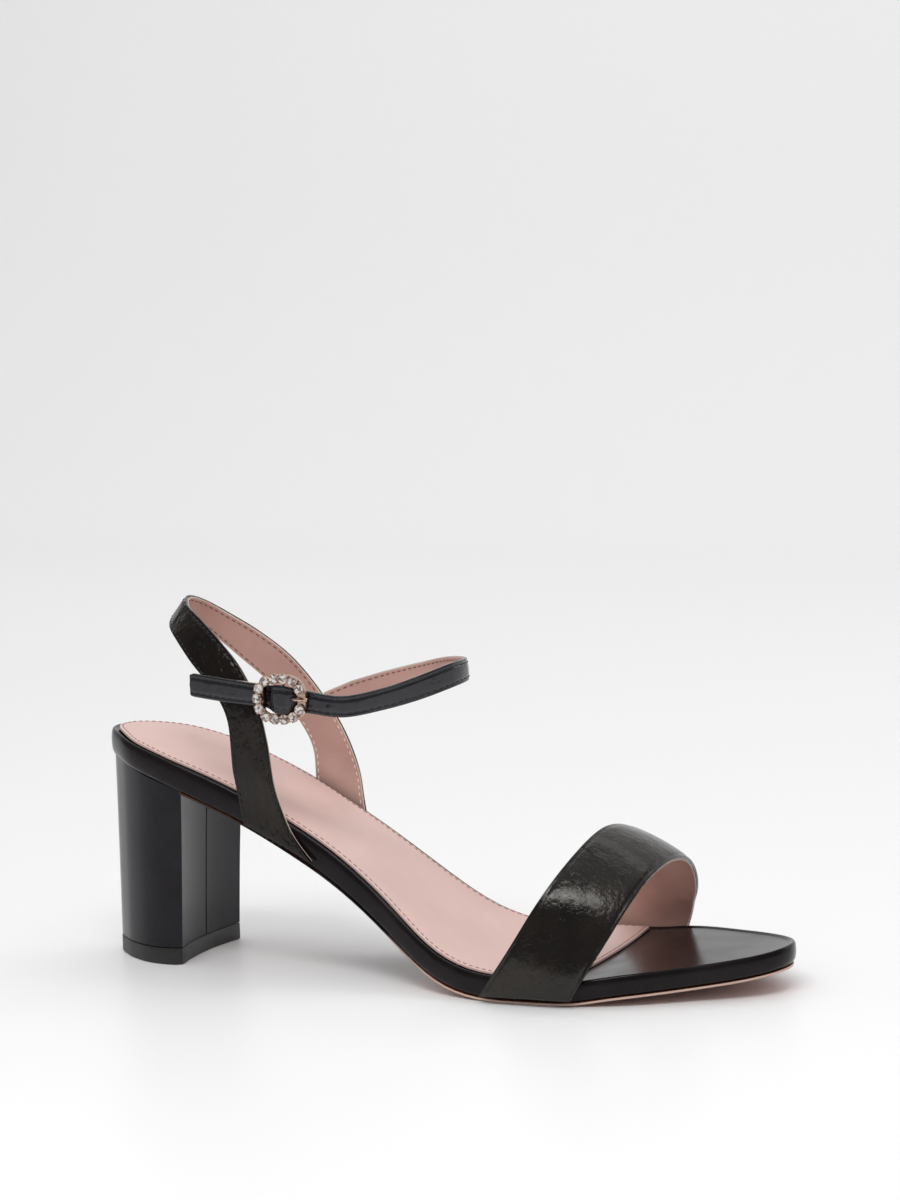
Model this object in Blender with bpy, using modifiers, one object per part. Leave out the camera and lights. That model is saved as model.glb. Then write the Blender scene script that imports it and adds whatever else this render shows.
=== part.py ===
# Heeled sandal for the right foot: an open toe, one broad strap over the vamp, a strap around
# the heel that rises from the waist of the sole, an ankle strap with a jewelled buckle, and a
# block heel with a flat back. The sandal stands on the floor at z = 0 with its toe along +X and
# its outer side along -Y. The origin is the middle of the heel's ground face. Sizes in metres.
import math

import bmesh
import bpy
from mathutils import Matrix, Vector

# Overall sizes of the sole
SHOE_LENGTH = 0.227
BALL_WIDTH = 0.082
SEAT_RISE = 0.064
HEEL_SETBACK = 0.017
GAP = 0.0003

# Covered footbed, its rim bead, the sock and the outsole
WRAP_THICK = 0.0092
RIM_WIDTH = 0.0022
RIM_DROP = 0.0006
SOCK_INSET = 0.0028
SOCK_THICK = 0.0009
SOCK_LENGTH = 0.17
SOCK_BOW = 0.002
OUTSOLE_TOE = 0.0008
OUTSOLE_WAIST = 0.0006
OUTSOLE_INSET = 0.0008
SOLE_STATIONS = 46

# Block heel and its top piece
HEEL_LENGTH = 0.0323
HEEL_WIDTH = 0.043
HEEL_SEAT_LENGTH = 0.0345
HEEL_SEAT_WIDTH = 0.0465
BREAST_HOLLOW = 0.002
HEEL_BACK = 0.0012
TOP_PIECE = 0.0053
TOP_CHAMFER = 0.0004

# Straps of the upper
UPPER_WALL = 0.0016
STRAP_SEATING = 0.010
VAMP_RISE = 0.050
VAMP_WIDTH = 0.024
VAMP_CROWN = 0.0008
BACK_FOOT = 0.0415
BACK_RISE = 0.070
BACK_WIDTH = 0.012
BACK_SPREAD = 0.028
ANKLE_WALL = 0.0014
ANKLE_WIDTH = 0.007
ANKLE_RISE = 0.070
ANKLE_START = 0.52
ANKLE_SEAM = 0.0006
ANKLE_CLIMB = 34.0

# Buckle, its tab and its stones
FRAME_LENGTH = 0.0177
FRAME_HEIGHT = 0.0154
FRAME_BAND = 0.003
FRAME_THICK = 0.0014
FRAME_CORNER = 0.0066
WINDOW_CORNER = 0.0022
BAR_DIAMETER = 0.0012
PRONG_DIAMETER = 0.0011
TAB_WALL = 0.0008
TAB_THICK = 0.0011
TAB_WIDTH = 0.0064
TAB_LENGTH = 0.0225
TAB_TILT = 5.0
STONE_DIAMETER = 0.0029
STONE_HEIGHT = 0.0014
STONE_TABLE = 0.0016
STONE_PLACES = 14

# Planes of the buckle, counted outwards from the heel strap's outer face
STRAP_FACE = BACK_SPREAD * 1.01 + UPPER_WALL / 2
EYE_RADIUS = BAR_DIAMETER / 2 + GAP + PRONG_DIAMETER
LOOP_RADIUS = BAR_DIAMETER / 2 + GAP + TAB_WALL
BAR_SIDE = STRAP_FACE + GAP + max(EYE_RADIUS, LOOP_RADIUS)
TAB_SIDE = STRAP_FACE + GAP + TAB_THICK / 2
TAIL_SIDE = TAB_SIDE + TAB_THICK / 2 + GAP + ANKLE_WALL / 2
HUMP_SIDE = BAR_SIDE + max(EYE_RADIUS, LOOP_RADIUS) + GAP + ANKLE_WALL / 2
FRAME_SIDE = TAIL_SIDE + ANKLE_WALL / 2 + 2 * GAP + FRAME_THICK / 2
BUCKLE_ALONG = 0.337
BUCKLE_UP = 0.665

# Sole: along the length, outer and inner half width by the ball width, rise by the seat rise,
# thickness of the wrapped footbed by its thickness at the waist
SOLE_ROWS = [
    (0.00, 0.00, 0.00, 1.00, 0.90),
    (0.03, 0.16, 0.16, 0.99, 0.90),
    (0.08, 0.27, 0.27, 0.95, 0.90),
    (0.15, 0.31, 0.31, 0.87, 0.92),
    (0.25, 0.30, 0.30, 0.72, 0.96),
    (0.35, 0.30, 0.27, 0.53, 1.00),
    (0.40, 0.31, 0.27, 0.42, 1.00),
    (0.45, 0.33, 0.29, 0.29, 1.00),
    (0.50, 0.38, 0.32, 0.16, 0.95),
    (0.55, 0.44, 0.37, 0.06, 0.87),
    (0.60, 0.48, 0.43, 0.01, 0.79),
    (0.65, 0.50, 0.48, 0.00, 0.74),
    (0.74, 0.49, 0.52, 0.00, 0.69),
    (0.80, 0.45, 0.49, 0.03, 0.68),
    (0.90, 0.29, 0.36, 0.06, 0.68),
    (0.97, 0.16, 0.20, 0.09, 0.68),
    (1.00, 0.00, 0.00, 0.11, 0.68),
]

# Wrap section: inset in rim widths, level between underside and top, drop in rim drops
WRAP_PROFILE = [
    (1.60, 0.00, 0.0),
    (0.45, 0.00, 0.0),
    (0.14, 0.10, 0.0),
    (0.00, 0.42, 0.0),
    (0.03, 0.78, 0.0),
    (0.20, 0.95, 0.0),
    (0.46, 1.00, 0.0),
    (0.75, 0.97, 0.1),
    (0.93, 1.00, 0.7),
    (1.02, 1.00, 1.0),
    (1.60, 1.00, 1.0),
]

# Half of the heel's plan: from the back, along and sideways
HEEL_PLAN = [
    (0.000, 0.000),
    (0.012, 0.130),
    (0.045, 0.260),
    (0.110, 0.385),
    (0.190, 0.505),
    (0.290, 0.650),
    (0.430, 0.800),
    (0.600, 0.935),
    (0.780, 0.997),
    (0.900, 1.000),
    (0.985, 0.978),
    (1.000, 0.935),
]

# Heel from the top piece to the seat: level, how far it has spread to the seat's size
HEEL_ROWS = [
    (0.00, 0.00, 0.00),
    (0.25, 0.04, 0.20),
    (0.50, 0.14, 0.42),
    (0.75, 0.42, 0.68),
    (0.92, 0.80, 0.90),
    (1.00, 1.00, 1.00),
]

# Vamp strap: along, side by the ball width, up by its rise, width, turn and lean in degrees
VAMP_ROWS = [
    (0.69, -0.51, 0.04, 1.20, 90, 0),
    (0.73, -0.48, 0.33, 1.15, 90, 10),
    (0.76, -0.41, 0.58, 1.05, 100, 15),
    (0.78, -0.27, 0.76, 1.00, 105, 15),
    (0.795, -0.10, 0.86, 0.95, 115, 10),
    (0.80, 0.08, 0.83, 0.90, 115, 0),
    (0.795, 0.24, 0.72, 0.90, 115, -5),
    (0.78, 0.38, 0.54, 0.95, 110, -10),
    (0.755, 0.48, 0.34, 1.00, 100, -10),
    (0.725, 0.53, 0.04, 1.10, 90, -5),
]

# Heel strap, from the outer foot over the back: along, side, up, width, turn and lean
BACK_ROWS = [
    (0.31, -0.97, 0.00, 2.10, 115, 0),
    (0.29, -0.97, 0.12, 1.55, 115, 0),
    (0.28, -1.00, 0.27, 1.20, 105, 0),
    (0.275, -1.01, 0.44, 1.05, 85, 0),
    (0.265, -1.00, 0.60, 0.95, 65, 0),
    (0.24, -0.94, 0.73, 0.95, 55, 10),
    (0.20, -0.80, 0.84, 0.95, 45, 20),
    (0.16, -0.58, 0.93, 0.85, 45, 20),
    (0.13, -0.34, 0.98, 0.75, 40, 10),
    (0.115, 0.00, 1.01, 0.70, 35, 0),
    (0.12, 0.30, 0.98, 0.70, 40, 0),
    (0.14, 0.58, 0.90, 0.80, 45, 0),
    (0.17, 0.79, 0.80, 0.95, 45, 0),
    (0.21, 0.91, 0.68, 1.00, 45, 0),
    (0.25, 0.96, 0.52, 1.00, 55, 0),
    (0.28, 0.97, 0.36, 1.05, 70, 0),
    (0.295, 0.97, 0.19, 1.30, 90, 0),
    (0.305, 0.96, 0.00, 1.70, 115, 0),
]

# Ankle strap, from the inner side around the front to its tail: along, side by the tail's
# plane, up by its rise, width and turn
ANKLE_ROWS = [
    (0.32, 0.92, 0.58, 1.05, -20),
    (0.37, 0.91, 0.63, 1.00, -15),
    (0.43, 0.79, 0.68, 1.00, -10),
    (0.48, 0.58, 0.72, 1.00, -5),
    (0.52, 0.31, 0.74, 1.00, -5),
    (0.545, -0.02, 0.75, 1.00, -5),
    (0.54, -0.32, 0.74, 1.10, 0),
    (0.51, -0.60, 0.70, 1.10, 5),
    (0.47, -0.82, 0.66, 1.00, 5),
    (0.42, -0.95, 0.63, 0.95, 0),
    (0.37, -1.00, 0.65, 1.00, 0),
    (0.34, -1.00, 0.66, 1.15, 0),
    (0.31, -1.00, 0.67, 1.00, 0),
    (0.25, -1.00, 0.69, 1.05, 0),
    (0.195, -0.98, 0.71, 1.05, 0),
]


def hermite(a, b, slope_a, slope_b, span, share):
    """Value between two rows of a curve with the given slopes."""
    s = share
    return (
        a * (2 * s**3 - 3 * s**2 + 1)
        + b * (3 * s**2 - 2 * s**3)
        + slope_a * span * (s**3 - 2 * s**2 + s)
        + slope_b * span * (s**3 - s**2)
    )


def slopes(keys, values):
    """Slope at each row of a curve that never overshoots its rows."""
    rates = [
        (values[i + 1] - values[i]) / (keys[i + 1] - keys[i])
        for i in range(len(keys) - 1)
    ]
    found = [rates[0]]
    for before, after in zip(rates, rates[1:]):
        same_way = before * after > 0
        found.append(2 * before * after / (before + after) if same_way else 0.0)
    found.append(rates[-1])
    return found


def curve_value(keys, values, key):
    """Value at a key on the curve through the rows."""
    key = min(max(key, keys[0]), keys[-1])
    i = 0
    while i < len(keys) - 2 and key > keys[i + 1]:
        i += 1
    span = keys[i + 1] - keys[i]
    slope = slopes(keys, values)
    share = (key - keys[i]) / span
    return hermite(values[i], values[i + 1], slope[i], slope[i + 1], span, share)


def end_angle(share):
    """Angle that spaces the sole's stations closer at its round ends."""
    return math.acos(1 - 2 * min(max(share, 0.0), 1.0))


SOLE_ALONG = [row[0] for row in SOLE_ROWS]
SOLE_ANGLES = [end_angle(row[0]) for row in SOLE_ROWS]


def half_width(share, side):
    """Half width of the wrapped sole at a share of its length, outer side for -1."""
    column = 1 if side < 0 else 2
    widths = [row[column] * BALL_WIDTH for row in SOLE_ROWS]
    return curve_value(SOLE_ANGLES, widths, end_angle(share))


def share_of(x):
    """Share of the sole's length at a place along it."""
    return (x + HEEL_SETBACK) / SHOE_LENGTH


def place_along(share):
    """Place along the shoe of a share of its length."""
    return share * SHOE_LENGTH - HEEL_SETBACK


def sole_rise(x):
    """Rise of the outsole's ground side above the floor."""
    rises = [row[3] * SEAT_RISE for row in SOLE_ROWS]
    return curve_value(SOLE_ALONG, rises, share_of(x))


def wrap_under(x):
    """Height of the wrapped footbed's underside."""
    return sole_rise(x) + OUTSOLE_TOE + GAP


def wrap_top(x):
    """Height of the rim bead's crest."""
    shares = [row[4] * WRAP_THICK for row in SOLE_ROWS]
    return wrap_under(x) + curve_value(SOLE_ALONG, shares, share_of(x))


def stations(first, last, count):
    """Shares along the sole from one to another, closer at its round ends."""
    a = end_angle(first)
    b = end_angle(last)
    return [(1 - math.cos(a + (b - a) * i / count)) / 2 for i in range(count + 1)]


def outline_point(share, side, inset):
    """Point of the sole's outline moved inwards, square to the outline."""
    step = 0.002
    low = max(share - step, 0.0)
    high = min(share + step, 1.0)
    here = Vector((place_along(share), side * half_width(share, side)))
    if share <= 0.0:
        return here + Vector((inset, 0))
    if share >= 1.0:
        return here - Vector((inset, 0))
    run = Vector((
        place_along(high) - place_along(low),
        side * (half_width(high, side) - half_width(low, side)),
    ))
    inward = Vector((run.y, -run.x)).normalized() * side
    return here + inward * inset


def new_object(name, bm, collection):
    """Object from a bmesh, in the sandal's collection."""
    mesh = bpy.data.meshes.new(name)
    bm.to_mesh(mesh)
    bm.free()
    made = bpy.data.objects.new(name, mesh)
    collection.objects.link(made)
    return made


def outward(bm):
    """Turns every face of a closed mesh outwards."""
    bmesh.ops.recalc_face_normals(bm, faces=bm.faces)


def shade(made, angle):
    """Smooth shading with the corners kept sharp."""
    made.data.shade_smooth()
    made.data.set_sharp_from_angle(angle=math.radians(angle))


def fill_rows(bm, first_tip, rows, last_tip):
    """Faces over rows of vertices, closed by a tip at either end where there is one."""
    for row, following in zip(rows, rows[1:]):
        for k in range(len(row) - 1):
            bm.faces.new((row[k], row[k + 1], following[k + 1], following[k]))
    for tip, row in ((first_tip, rows[0]), (last_tip, rows[-1])):
        if tip:
            for k in range(len(row) - 1):
                bm.faces.new((tip, row[k], row[k + 1]))


def across(bm, left, right, columns, height):
    """Row of vertices between two rim vertices, laid on a height function."""
    row = [left]
    for k in range(1, columns):
        spot = left.co.lerp(right.co, k / columns)
        row.append(bm.verts.new((spot.x, spot.y, height(spot.x, spot.y))))
    row.append(right)
    return row


def make_wrap(collection):
    """Footbed board with its cover: a rim bead all round and a bed set down inside it."""
    bm = bmesh.new()
    shares = stations(0, 1, SOLE_STATIONS)
    inner = shares[1:-1]
    around = [(s, -1) for s in shares] + [(s, 1) for s in reversed(inner)]
    rings = []
    for inset, level, drop in WRAP_PROFILE:
        ring = []
        for share, side in around:
            spot = outline_point(share, side, inset * RIM_WIDTH)
            low = wrap_under(spot.x)
            high = wrap_top(spot.x)
            z = low + (high - low) * level - RIM_DROP * drop
            ring.append(bm.verts.new((spot.x, spot.y, z)))
        rings.append(ring)
    count = len(around)
    for ring, following in zip(rings, rings[1:]):
        for i in range(count):
            j = (i + 1) % count
            bm.faces.new((ring[i], ring[j], following[j], following[i]))
    far = len(shares) - 1
    for ring, height in (
        (rings[0], lambda x, y: wrap_under(x)),
        (rings[-1], lambda x, y: wrap_top(x) - RIM_DROP),
    ):
        rows = [
            across(bm, ring[i], ring[count - i], 5, height) for i in range(1, far)
        ]
        fill_rows(bm, ring[0], rows, ring[far])
    outward(bm)
    made = new_object("midsole", bm, collection)
    shade(made, 40)
    return made


def make_sheet(name, collection, shares, inset, height, columns, thick, bow):
    """Sheet that follows the sole's outline, made thick downwards."""
    bm = bmesh.new()
    tip_first = shares[0] <= 0.0
    tip_last = shares[-1] >= 1.0
    middle = shares[1 if tip_first else 0 : -1 if tip_last else None]
    rows = []
    for share in middle:
        left = outline_point(share, -1, inset)
        right = outline_point(share, 1, inset)
        row = []
        for k in range(columns + 1):
            spot = left.lerp(right, k / columns)
            x = spot.x + bow(share, 2 * k / columns - 1)
            row.append(bm.verts.new((x, spot.y, height(x))))
        rows.append(row)
    tips = []
    for share, wanted in ((0.0, tip_first), (1.0, tip_last)):
        spot = outline_point(share, 1, inset)
        tips.append(bm.verts.new((spot.x, spot.y, height(spot.x))) if wanted else None)
    fill_rows(bm, tips[0], rows, tips[1])
    outward(bm)
    if sum((face.normal.z for face in bm.faces)) < 0:
        bmesh.ops.reverse_faces(bm, faces=bm.faces)
    made = new_object(name, bm, collection)
    thicken = made.modifiers.new("thickness", "SOLIDIFY")
    thicken.thickness = thick
    thicken.offset = -1
    thicken.use_even_offset = True
    shade(made, 40)
    return made


def make_sock(collection):
    """Sock that covers the bed inside the rim as far as the ball, with a bowed front edge."""
    last = (SOCK_LENGTH - SOCK_BOW) / SHOE_LENGTH
    shares = [s for s in stations(0, 1, SOLE_STATIONS) if s < last - 0.01] + [last]

    def bow(share, across_share):
        reach = max(0.0, (share / last - 0.86) / 0.14)
        return SOCK_BOW * reach * (1 - across_share**2)

    def height(x):
        return wrap_top(x) - RIM_DROP + GAP + SOCK_THICK

    return make_sheet("insole", collection, shares, SOCK_INSET, height, 8, SOCK_THICK, bow)


def make_outsole(collection):
    """Outsole from the heel's breast to the toe, thinner through the waist."""
    bm = bmesh.new()
    first = (HEEL_SEAT_LENGTH + GAP * 2) / SHOE_LENGTH
    shares = [s for s in stations(0, 1, SOLE_STATIONS) if s > first + 0.01]
    shares.insert(0, first)
    columns = 6
    upper = []
    lower = []
    for share in shares[:-1]:
        thin = min(max((0.62 - share) / 0.25, 0.0), 1.0)
        thick = OUTSOLE_TOE + (OUTSOLE_WAIST - OUTSOLE_TOE) * thin
        left = outline_point(share, -1, OUTSOLE_INSET)
        right = outline_point(share, 1, OUTSOLE_INSET)
        top_row = []
        ground_row = []
        for k in range(columns + 1):
            spot = left.lerp(right, k / columns)
            top = wrap_under(spot.x) - GAP
            top_row.append(bm.verts.new((spot.x, spot.y, top)))
            ground_row.append(bm.verts.new((spot.x, spot.y, top - thick)))
        upper.append(top_row)
        lower.append(ground_row)
    spot = outline_point(1.0, 1, OUTSOLE_INSET)
    top = wrap_under(spot.x) - GAP
    top_tip = bm.verts.new((spot.x, spot.y, top))
    ground_tip = bm.verts.new((spot.x, spot.y, top - OUTSOLE_TOE))
    fill_rows(bm, None, upper, top_tip)
    fill_rows(bm, None, lower, ground_tip)
    for side in (0, columns):
        for i in range(len(upper) - 1):
            bm.faces.new((
                upper[i][side], upper[i + 1][side], lower[i + 1][side], lower[i][side],
            ))
        bm.faces.new((upper[-1][side], top_tip, ground_tip, lower[-1][side]))
    for k in range(columns):
        bm.faces.new((upper[0][k], upper[0][k + 1], lower[0][k + 1], lower[0][k]))
    outward(bm)
    made = new_object("outsole", bm, collection)
    shade(made, 40)
    return made


def heel_section(length, width, back, hollow):
    """Plan of the heel: a round back, full sides and a hollow breast with sharp corners."""
    keys = [0.0]
    for before, after in zip(HEEL_PLAN, HEEL_PLAN[1:]):
        keys.append(keys[-1] + math.dist(before, after))
    alongs = [row[0] for row in HEEL_PLAN]
    sides = [row[1] for row in HEEL_PLAN]
    outer = []
    for i in range(17):
        key = keys[-1] * i / 16
        along = curve_value(keys, alongs, key)
        side = curve_value(keys, sides, key)
        outer.append((back + along * (length - back), side * width / 2))
    front_x, front_y = outer[-1]
    breast = []
    for i in range(1, 8):
        y = front_y * (1 - i / 4)
        breast.append((front_x - hollow * (1 - (y / front_y) ** 2), y))
    mirrored = [(x, -y) for x, y in reversed(outer[1:])]
    ring = outer + breast + mirrored
    return [(x - HEEL_SETBACK, y) for x, y in ring]


def loft(name, collection, rings):
    """Closed body through rings of equal count, with flat ends."""
    bm = bmesh.new()
    made_rings = [[bm.verts.new(spot) for spot in ring] for ring in rings]
    for ring, following in zip(made_rings, made_rings[1:]):
        for i in range(len(ring)):
            j = (i + 1) % len(ring)
            bm.faces.new((ring[i], ring[j], following[j], following[i]))
    bm.faces.new(list(reversed(made_rings[0])))
    bm.faces.new(made_rings[-1])
    outward(bm)
    made = new_object(name, bm, collection)
    shade(made, 35)
    return made


def make_heel(collection):
    """Covered block heel, from the top piece up to the seat under the wrap."""
    foot = TOP_PIECE + GAP
    rings = []
    for level, wide, long in HEEL_ROWS:
        length = HEEL_LENGTH + (HEEL_SEAT_LENGTH - HEEL_LENGTH) * long
        width = HEEL_WIDTH + (HEEL_SEAT_WIDTH - HEEL_WIDTH) * wide
        ring = []
        for x, y in heel_section(length, width, HEEL_BACK, BREAST_HOLLOW):
            seat = wrap_under(x) - GAP
            ring.append((x, y, foot + (seat - foot) * level))
        rings.append(ring)
    return loft("heel", collection, rings)


def make_top_piece(collection):
    """Wearing piece under the heel, with a small chamfer at the ground."""
    rings = []
    for z, inset in ((0.0, TOP_CHAMFER), (TOP_CHAMFER, 0.0), (TOP_PIECE, 0.0)):
        ring = []
        for x, y in heel_section(HEEL_LENGTH, HEEL_WIDTH, HEEL_BACK, BREAST_HOLLOW):
            middle = Vector((HEEL_LENGTH * 0.55 - HEEL_SETBACK, 0))
            spot = Vector((x, y))
            spot += (middle - spot).normalized() * inset
            ring.append((spot.x, spot.y, z))
        rings.append(ring)
    return loft("heel_top_piece", collection, rings)


def thread(rows, count):
    """Rows spread evenly along the smooth curve through a table's rows."""
    keys = [0.0]
    for before, after in zip(rows, rows[1:]):
        keys.append(keys[-1] + math.dist(before[:3], after[:3]))
    columns = list(zip(*rows))
    slope_columns = []
    for values in columns:
        found = []
        for i in range(len(values)):
            a = max(i - 1, 0)
            b = min(i + 1, len(values) - 1)
            found.append((values[b] - values[a]) / (keys[b] - keys[a]))
        slope_columns.append(found)
    spread = []
    i = 0
    for n in range(count + 1):
        key = keys[-1] * n / count
        while i < len(keys) - 2 and key > keys[i + 1]:
            i += 1
        span = keys[i + 1] - keys[i]
        share = (key - keys[i]) / span
        spread.append([
            hermite(values[i], values[i + 1], slope[i], slope[i + 1], span, share)
            for values, slope in zip(columns, slope_columns)
        ])
    return spread


def width_line(turn, lean):
    """Direction across a strap: turned from upright towards the toe, then leaned sideways."""
    turned = math.radians(turn)
    leaned = math.radians(lean)
    level = math.cos(leaned)
    return Vector((math.sin(turned) * level, math.sin(leaned), math.cos(turned) * level))


def strap_rows(rows, count, columns, width, crown):
    """Points of a strap's middle surface, from rows already in metres and degrees."""
    grid = []
    spread = thread(rows, count)
    for i, row in enumerate(spread):
        centre = Vector(row[:3])
        line = width_line(row[4], row[5]) * row[3] * width
        before = Vector(spread[max(i - 1, 0)][:3])
        after = Vector(spread[min(i + 1, count)][:3])
        out = line.cross(after - before).normalized() * crown
        spots = []
        for k in range(columns + 1):
            across_share = 2 * k / columns - 1
            spots.append(centre + line * across_share / 2 + out * (1 - across_share**2))
        grid.append(spots)
    return grid


def seat_on_wrap(grid, wall):
    """Moves a strap's feet out to lie on the side of the wrapped footbed."""
    for row in grid:
        for spot in row:
            side = -1 if spot.y < 0 else 1
            reach = half_width(share_of(spot.x), side) + GAP * 1.5 + wall / 2
            above = (spot.z - wrap_top(spot.x)) / STRAP_SEATING
            pull = min(max(1 - above, 0.0), 1.0)
            pull = pull * pull * (3 - 2 * pull)
            if abs(spot.y) < reach:
                spot.y += (side * reach - spot.y) * pull
            else:
                spot.y += (side * reach - spot.y) * pull * 0.8
    return grid


def make_strap(name, collection, grid, wall):
    """Strap from a grid of its middle surface, with the wall to both sides of it."""
    bm = bmesh.new()
    rows = [[bm.verts.new(spot) for spot in row] for row in grid]
    fill_rows(bm, None, rows, None)
    made = new_object(name, bm, collection)
    thicken = made.modifiers.new("wall", "SOLIDIFY")
    thicken.thickness = wall
    thicken.offset = 0
    thicken.use_even_offset = True
    shade(made, 50)
    return made


def make_vamp(collection):
    """Broad strap over the toes' roots, its feet outside the wrap on both sides."""
    rows = [
        (place_along(a), s * BALL_WIDTH, u * VAMP_RISE, w, turn, lean)
        for a, s, u, w, turn, lean in VAMP_ROWS
    ]
    grid = seat_on_wrap(strap_rows(rows, 44, 7, VAMP_WIDTH, VAMP_CROWN), UPPER_WALL)
    return make_strap("vamp_strap", collection, grid, UPPER_WALL)


def back_grid():
    """Middle surface of the heel strap."""
    rows = [
        (place_along(a), s * BACK_SPREAD, BACK_FOOT + u * BACK_RISE, w, turn, lean)
        for a, s, u, w, turn, lean in BACK_ROWS
    ]
    return seat_on_wrap(strap_rows(rows, 64, 5, BACK_WIDTH, 0), UPPER_WALL)


def edge_at(grid, height):
    """Point of the heel strap's front edge on the inner side at a height."""
    edge = [row[-1] for row in grid[len(grid) // 2 :]]
    for above, below in zip(edge, edge[1:]):
        if above.z >= height >= below.z:
            share = (above.z - height) / (above.z - below.z)
            return above.lerp(below, share)
    return edge[-1]


def hump_over_bar(spot):
    """How far the ankle strap stands out over the bar at a point of its outer side."""
    window = FRAME_LENGTH / 2 - FRAME_BAND - GAP
    away = abs(spot.x - place_along(BUCKLE_ALONG))
    share = min(max((window - away) / (window - BAR_DIAMETER), 0.0), 1.0)
    if spot.y > 0:
        return 0.0
    return (HUMP_SIDE - TAIL_SIDE) * share * share * (3 - 2 * share)


def make_ankle_strap(collection, heel_strap):
    """Ankle strap: it butts on the heel strap, rounds the front and passes the buckle."""
    rows = [
        (place_along(a), s * TAIL_SIDE, BACK_FOOT + u * ANKLE_RISE, w, turn, 0)
        for a, s, u, w, turn in ANKLE_ROWS
    ]
    grid = strap_rows(rows, 120, 3, ANKLE_WIDTH, 0)
    for row in grid:
        for spot in row:
            spot.y = max(spot.y, -TAIL_SIDE) - hump_over_bar(spot)
    start = BACK_FOOT + ANKLE_START * ANKLE_RISE
    climb = math.radians(ANKLE_CLIMB)
    seam = Vector((math.cos(climb), 0, math.sin(climb))) * ANKLE_SEAM
    first = []
    for k in range(4):
        rise = ANKLE_WIDTH * (k / 3 - 0.5)
        first.append(edge_at(heel_strap, start + rise) + seam)
    second = [a.lerp(b, 0.5) for a, b in zip(first, grid[0])]
    made = make_strap("ankle_strap", collection, [first, second] + grid, ANKLE_WALL)
    return made


def rounded_loop(curve, length, height, corner, turn):
    """Closed rounded rectangle added to a curve, run the other way for a hole."""
    corner = min(corner, length * 0.49, height * 0.49)
    spots = []
    for quarter in range(4):
        sx = 1 if quarter in (0, 3) else -1
        sy = 1 if quarter in (0, 1) else -1
        cx = sx * (length / 2 - corner)
        cy = sy * (height / 2 - corner)
        for i in range(7):
            angle = math.pi / 2 * (quarter + i / 6)
            spots.append((cx + corner * math.cos(angle), cy + corner * math.sin(angle)))
    if turn < 0:
        spots.reverse()
    spline = curve.splines.new("POLY")
    spline.points.add(len(spots) - 1)
    for point, spot in zip(spline.points, spots):
        point.co = (spot[0], spot[1], 0, 1)
    spline.use_cyclic_u = True


def mesh_of_curve(made, collection):
    """The same shape as a mesh, with its caps welded."""
    seen = bpy.context.evaluated_depsgraph_get()
    seen.update()
    mesh = bpy.data.meshes.new_from_object(made.evaluated_get(seen))
    bm = bmesh.new()
    bm.from_mesh(mesh)
    bmesh.ops.remove_doubles(bm, verts=bm.verts, dist=0.000001)
    outward(bm)
    bm.to_mesh(mesh)
    bm.free()
    solid = bpy.data.objects.new(made.name + "_solid", mesh)
    collection.objects.link(solid)
    solid.matrix_world = made.matrix_world.copy()
    name = made.name
    bpy.data.objects.remove(made)
    solid.name = name
    return solid


def make_frame(collection):
    """Flat buckle frame, a rounded rectangle with a rounded window."""
    curve = bpy.data.curves.new("buckle_frame", "CURVE")
    curve.dimensions = "2D"
    curve.fill_mode = "BOTH"
    curve.extrude = FRAME_THICK / 2
    rounded_loop(curve, FRAME_LENGTH, FRAME_HEIGHT, FRAME_CORNER, 1)
    rounded_loop(
        curve,
        FRAME_LENGTH - 2 * FRAME_BAND,
        FRAME_HEIGHT - 2 * FRAME_BAND,
        WINDOW_CORNER,
        -1,
    )
    made = bpy.data.objects.new("buckle_frame", curve)
    collection.objects.link(made)
    made.matrix_world = Matrix.Rotation(math.pi / 2, 4, "X")
    bpy.context.view_layer.update()
    return mesh_of_curve(made, collection)


def wire(name, collection, spots, diameter):
    """Round wire through a few points, with closed ends."""
    curve = bpy.data.curves.new(name, "CURVE")
    curve.dimensions = "3D"
    curve.bevel_depth = diameter / 2
    curve.bevel_resolution = 2
    curve.use_fill_caps = True
    spline = curve.splines.new("POLY")
    spline.points.add(len(spots) - 1)
    for point, spot in zip(spline.points, spots):
        point.co = (spot[0], spot[1], spot[2], 1)
    made = bpy.data.objects.new(name, curve)
    collection.objects.link(made)
    bpy.context.view_layer.update()
    return mesh_of_curve(made, collection)


def subtract(made, cutter):
    """Cuts one body out of another."""
    cut = made.modifiers.new("cut", "BOOLEAN")
    cut.operation = "DIFFERENCE"
    cut.solver = "EXACT"
    cut.object = cutter
    cutter.hide_render = True
    cutter.display_type = "WIRE"


def make_bar(collection):
    """Centre bar on two legs behind the frame's upper and lower limbs."""
    leg = FRAME_SIDE - FRAME_THICK / 2 - GAP - BAR_SIDE
    reach = FRAME_HEIGHT / 2 - FRAME_BAND * 0.5
    knee = reach - BAR_DIAMETER * 0.45
    spots = [
        (0, -leg, reach),
        (0, -leg * 0.35, reach - BAR_DIAMETER * 0.08),
        (0, 0, knee - BAR_DIAMETER * 0.5),
        (0, 0, -knee + BAR_DIAMETER * 0.5),
        (0, -leg * 0.35, -reach + BAR_DIAMETER * 0.08),
        (0, -leg, -reach),
    ]
    return wire("buckle_bar", collection, spots, BAR_DIAMETER)


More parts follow.
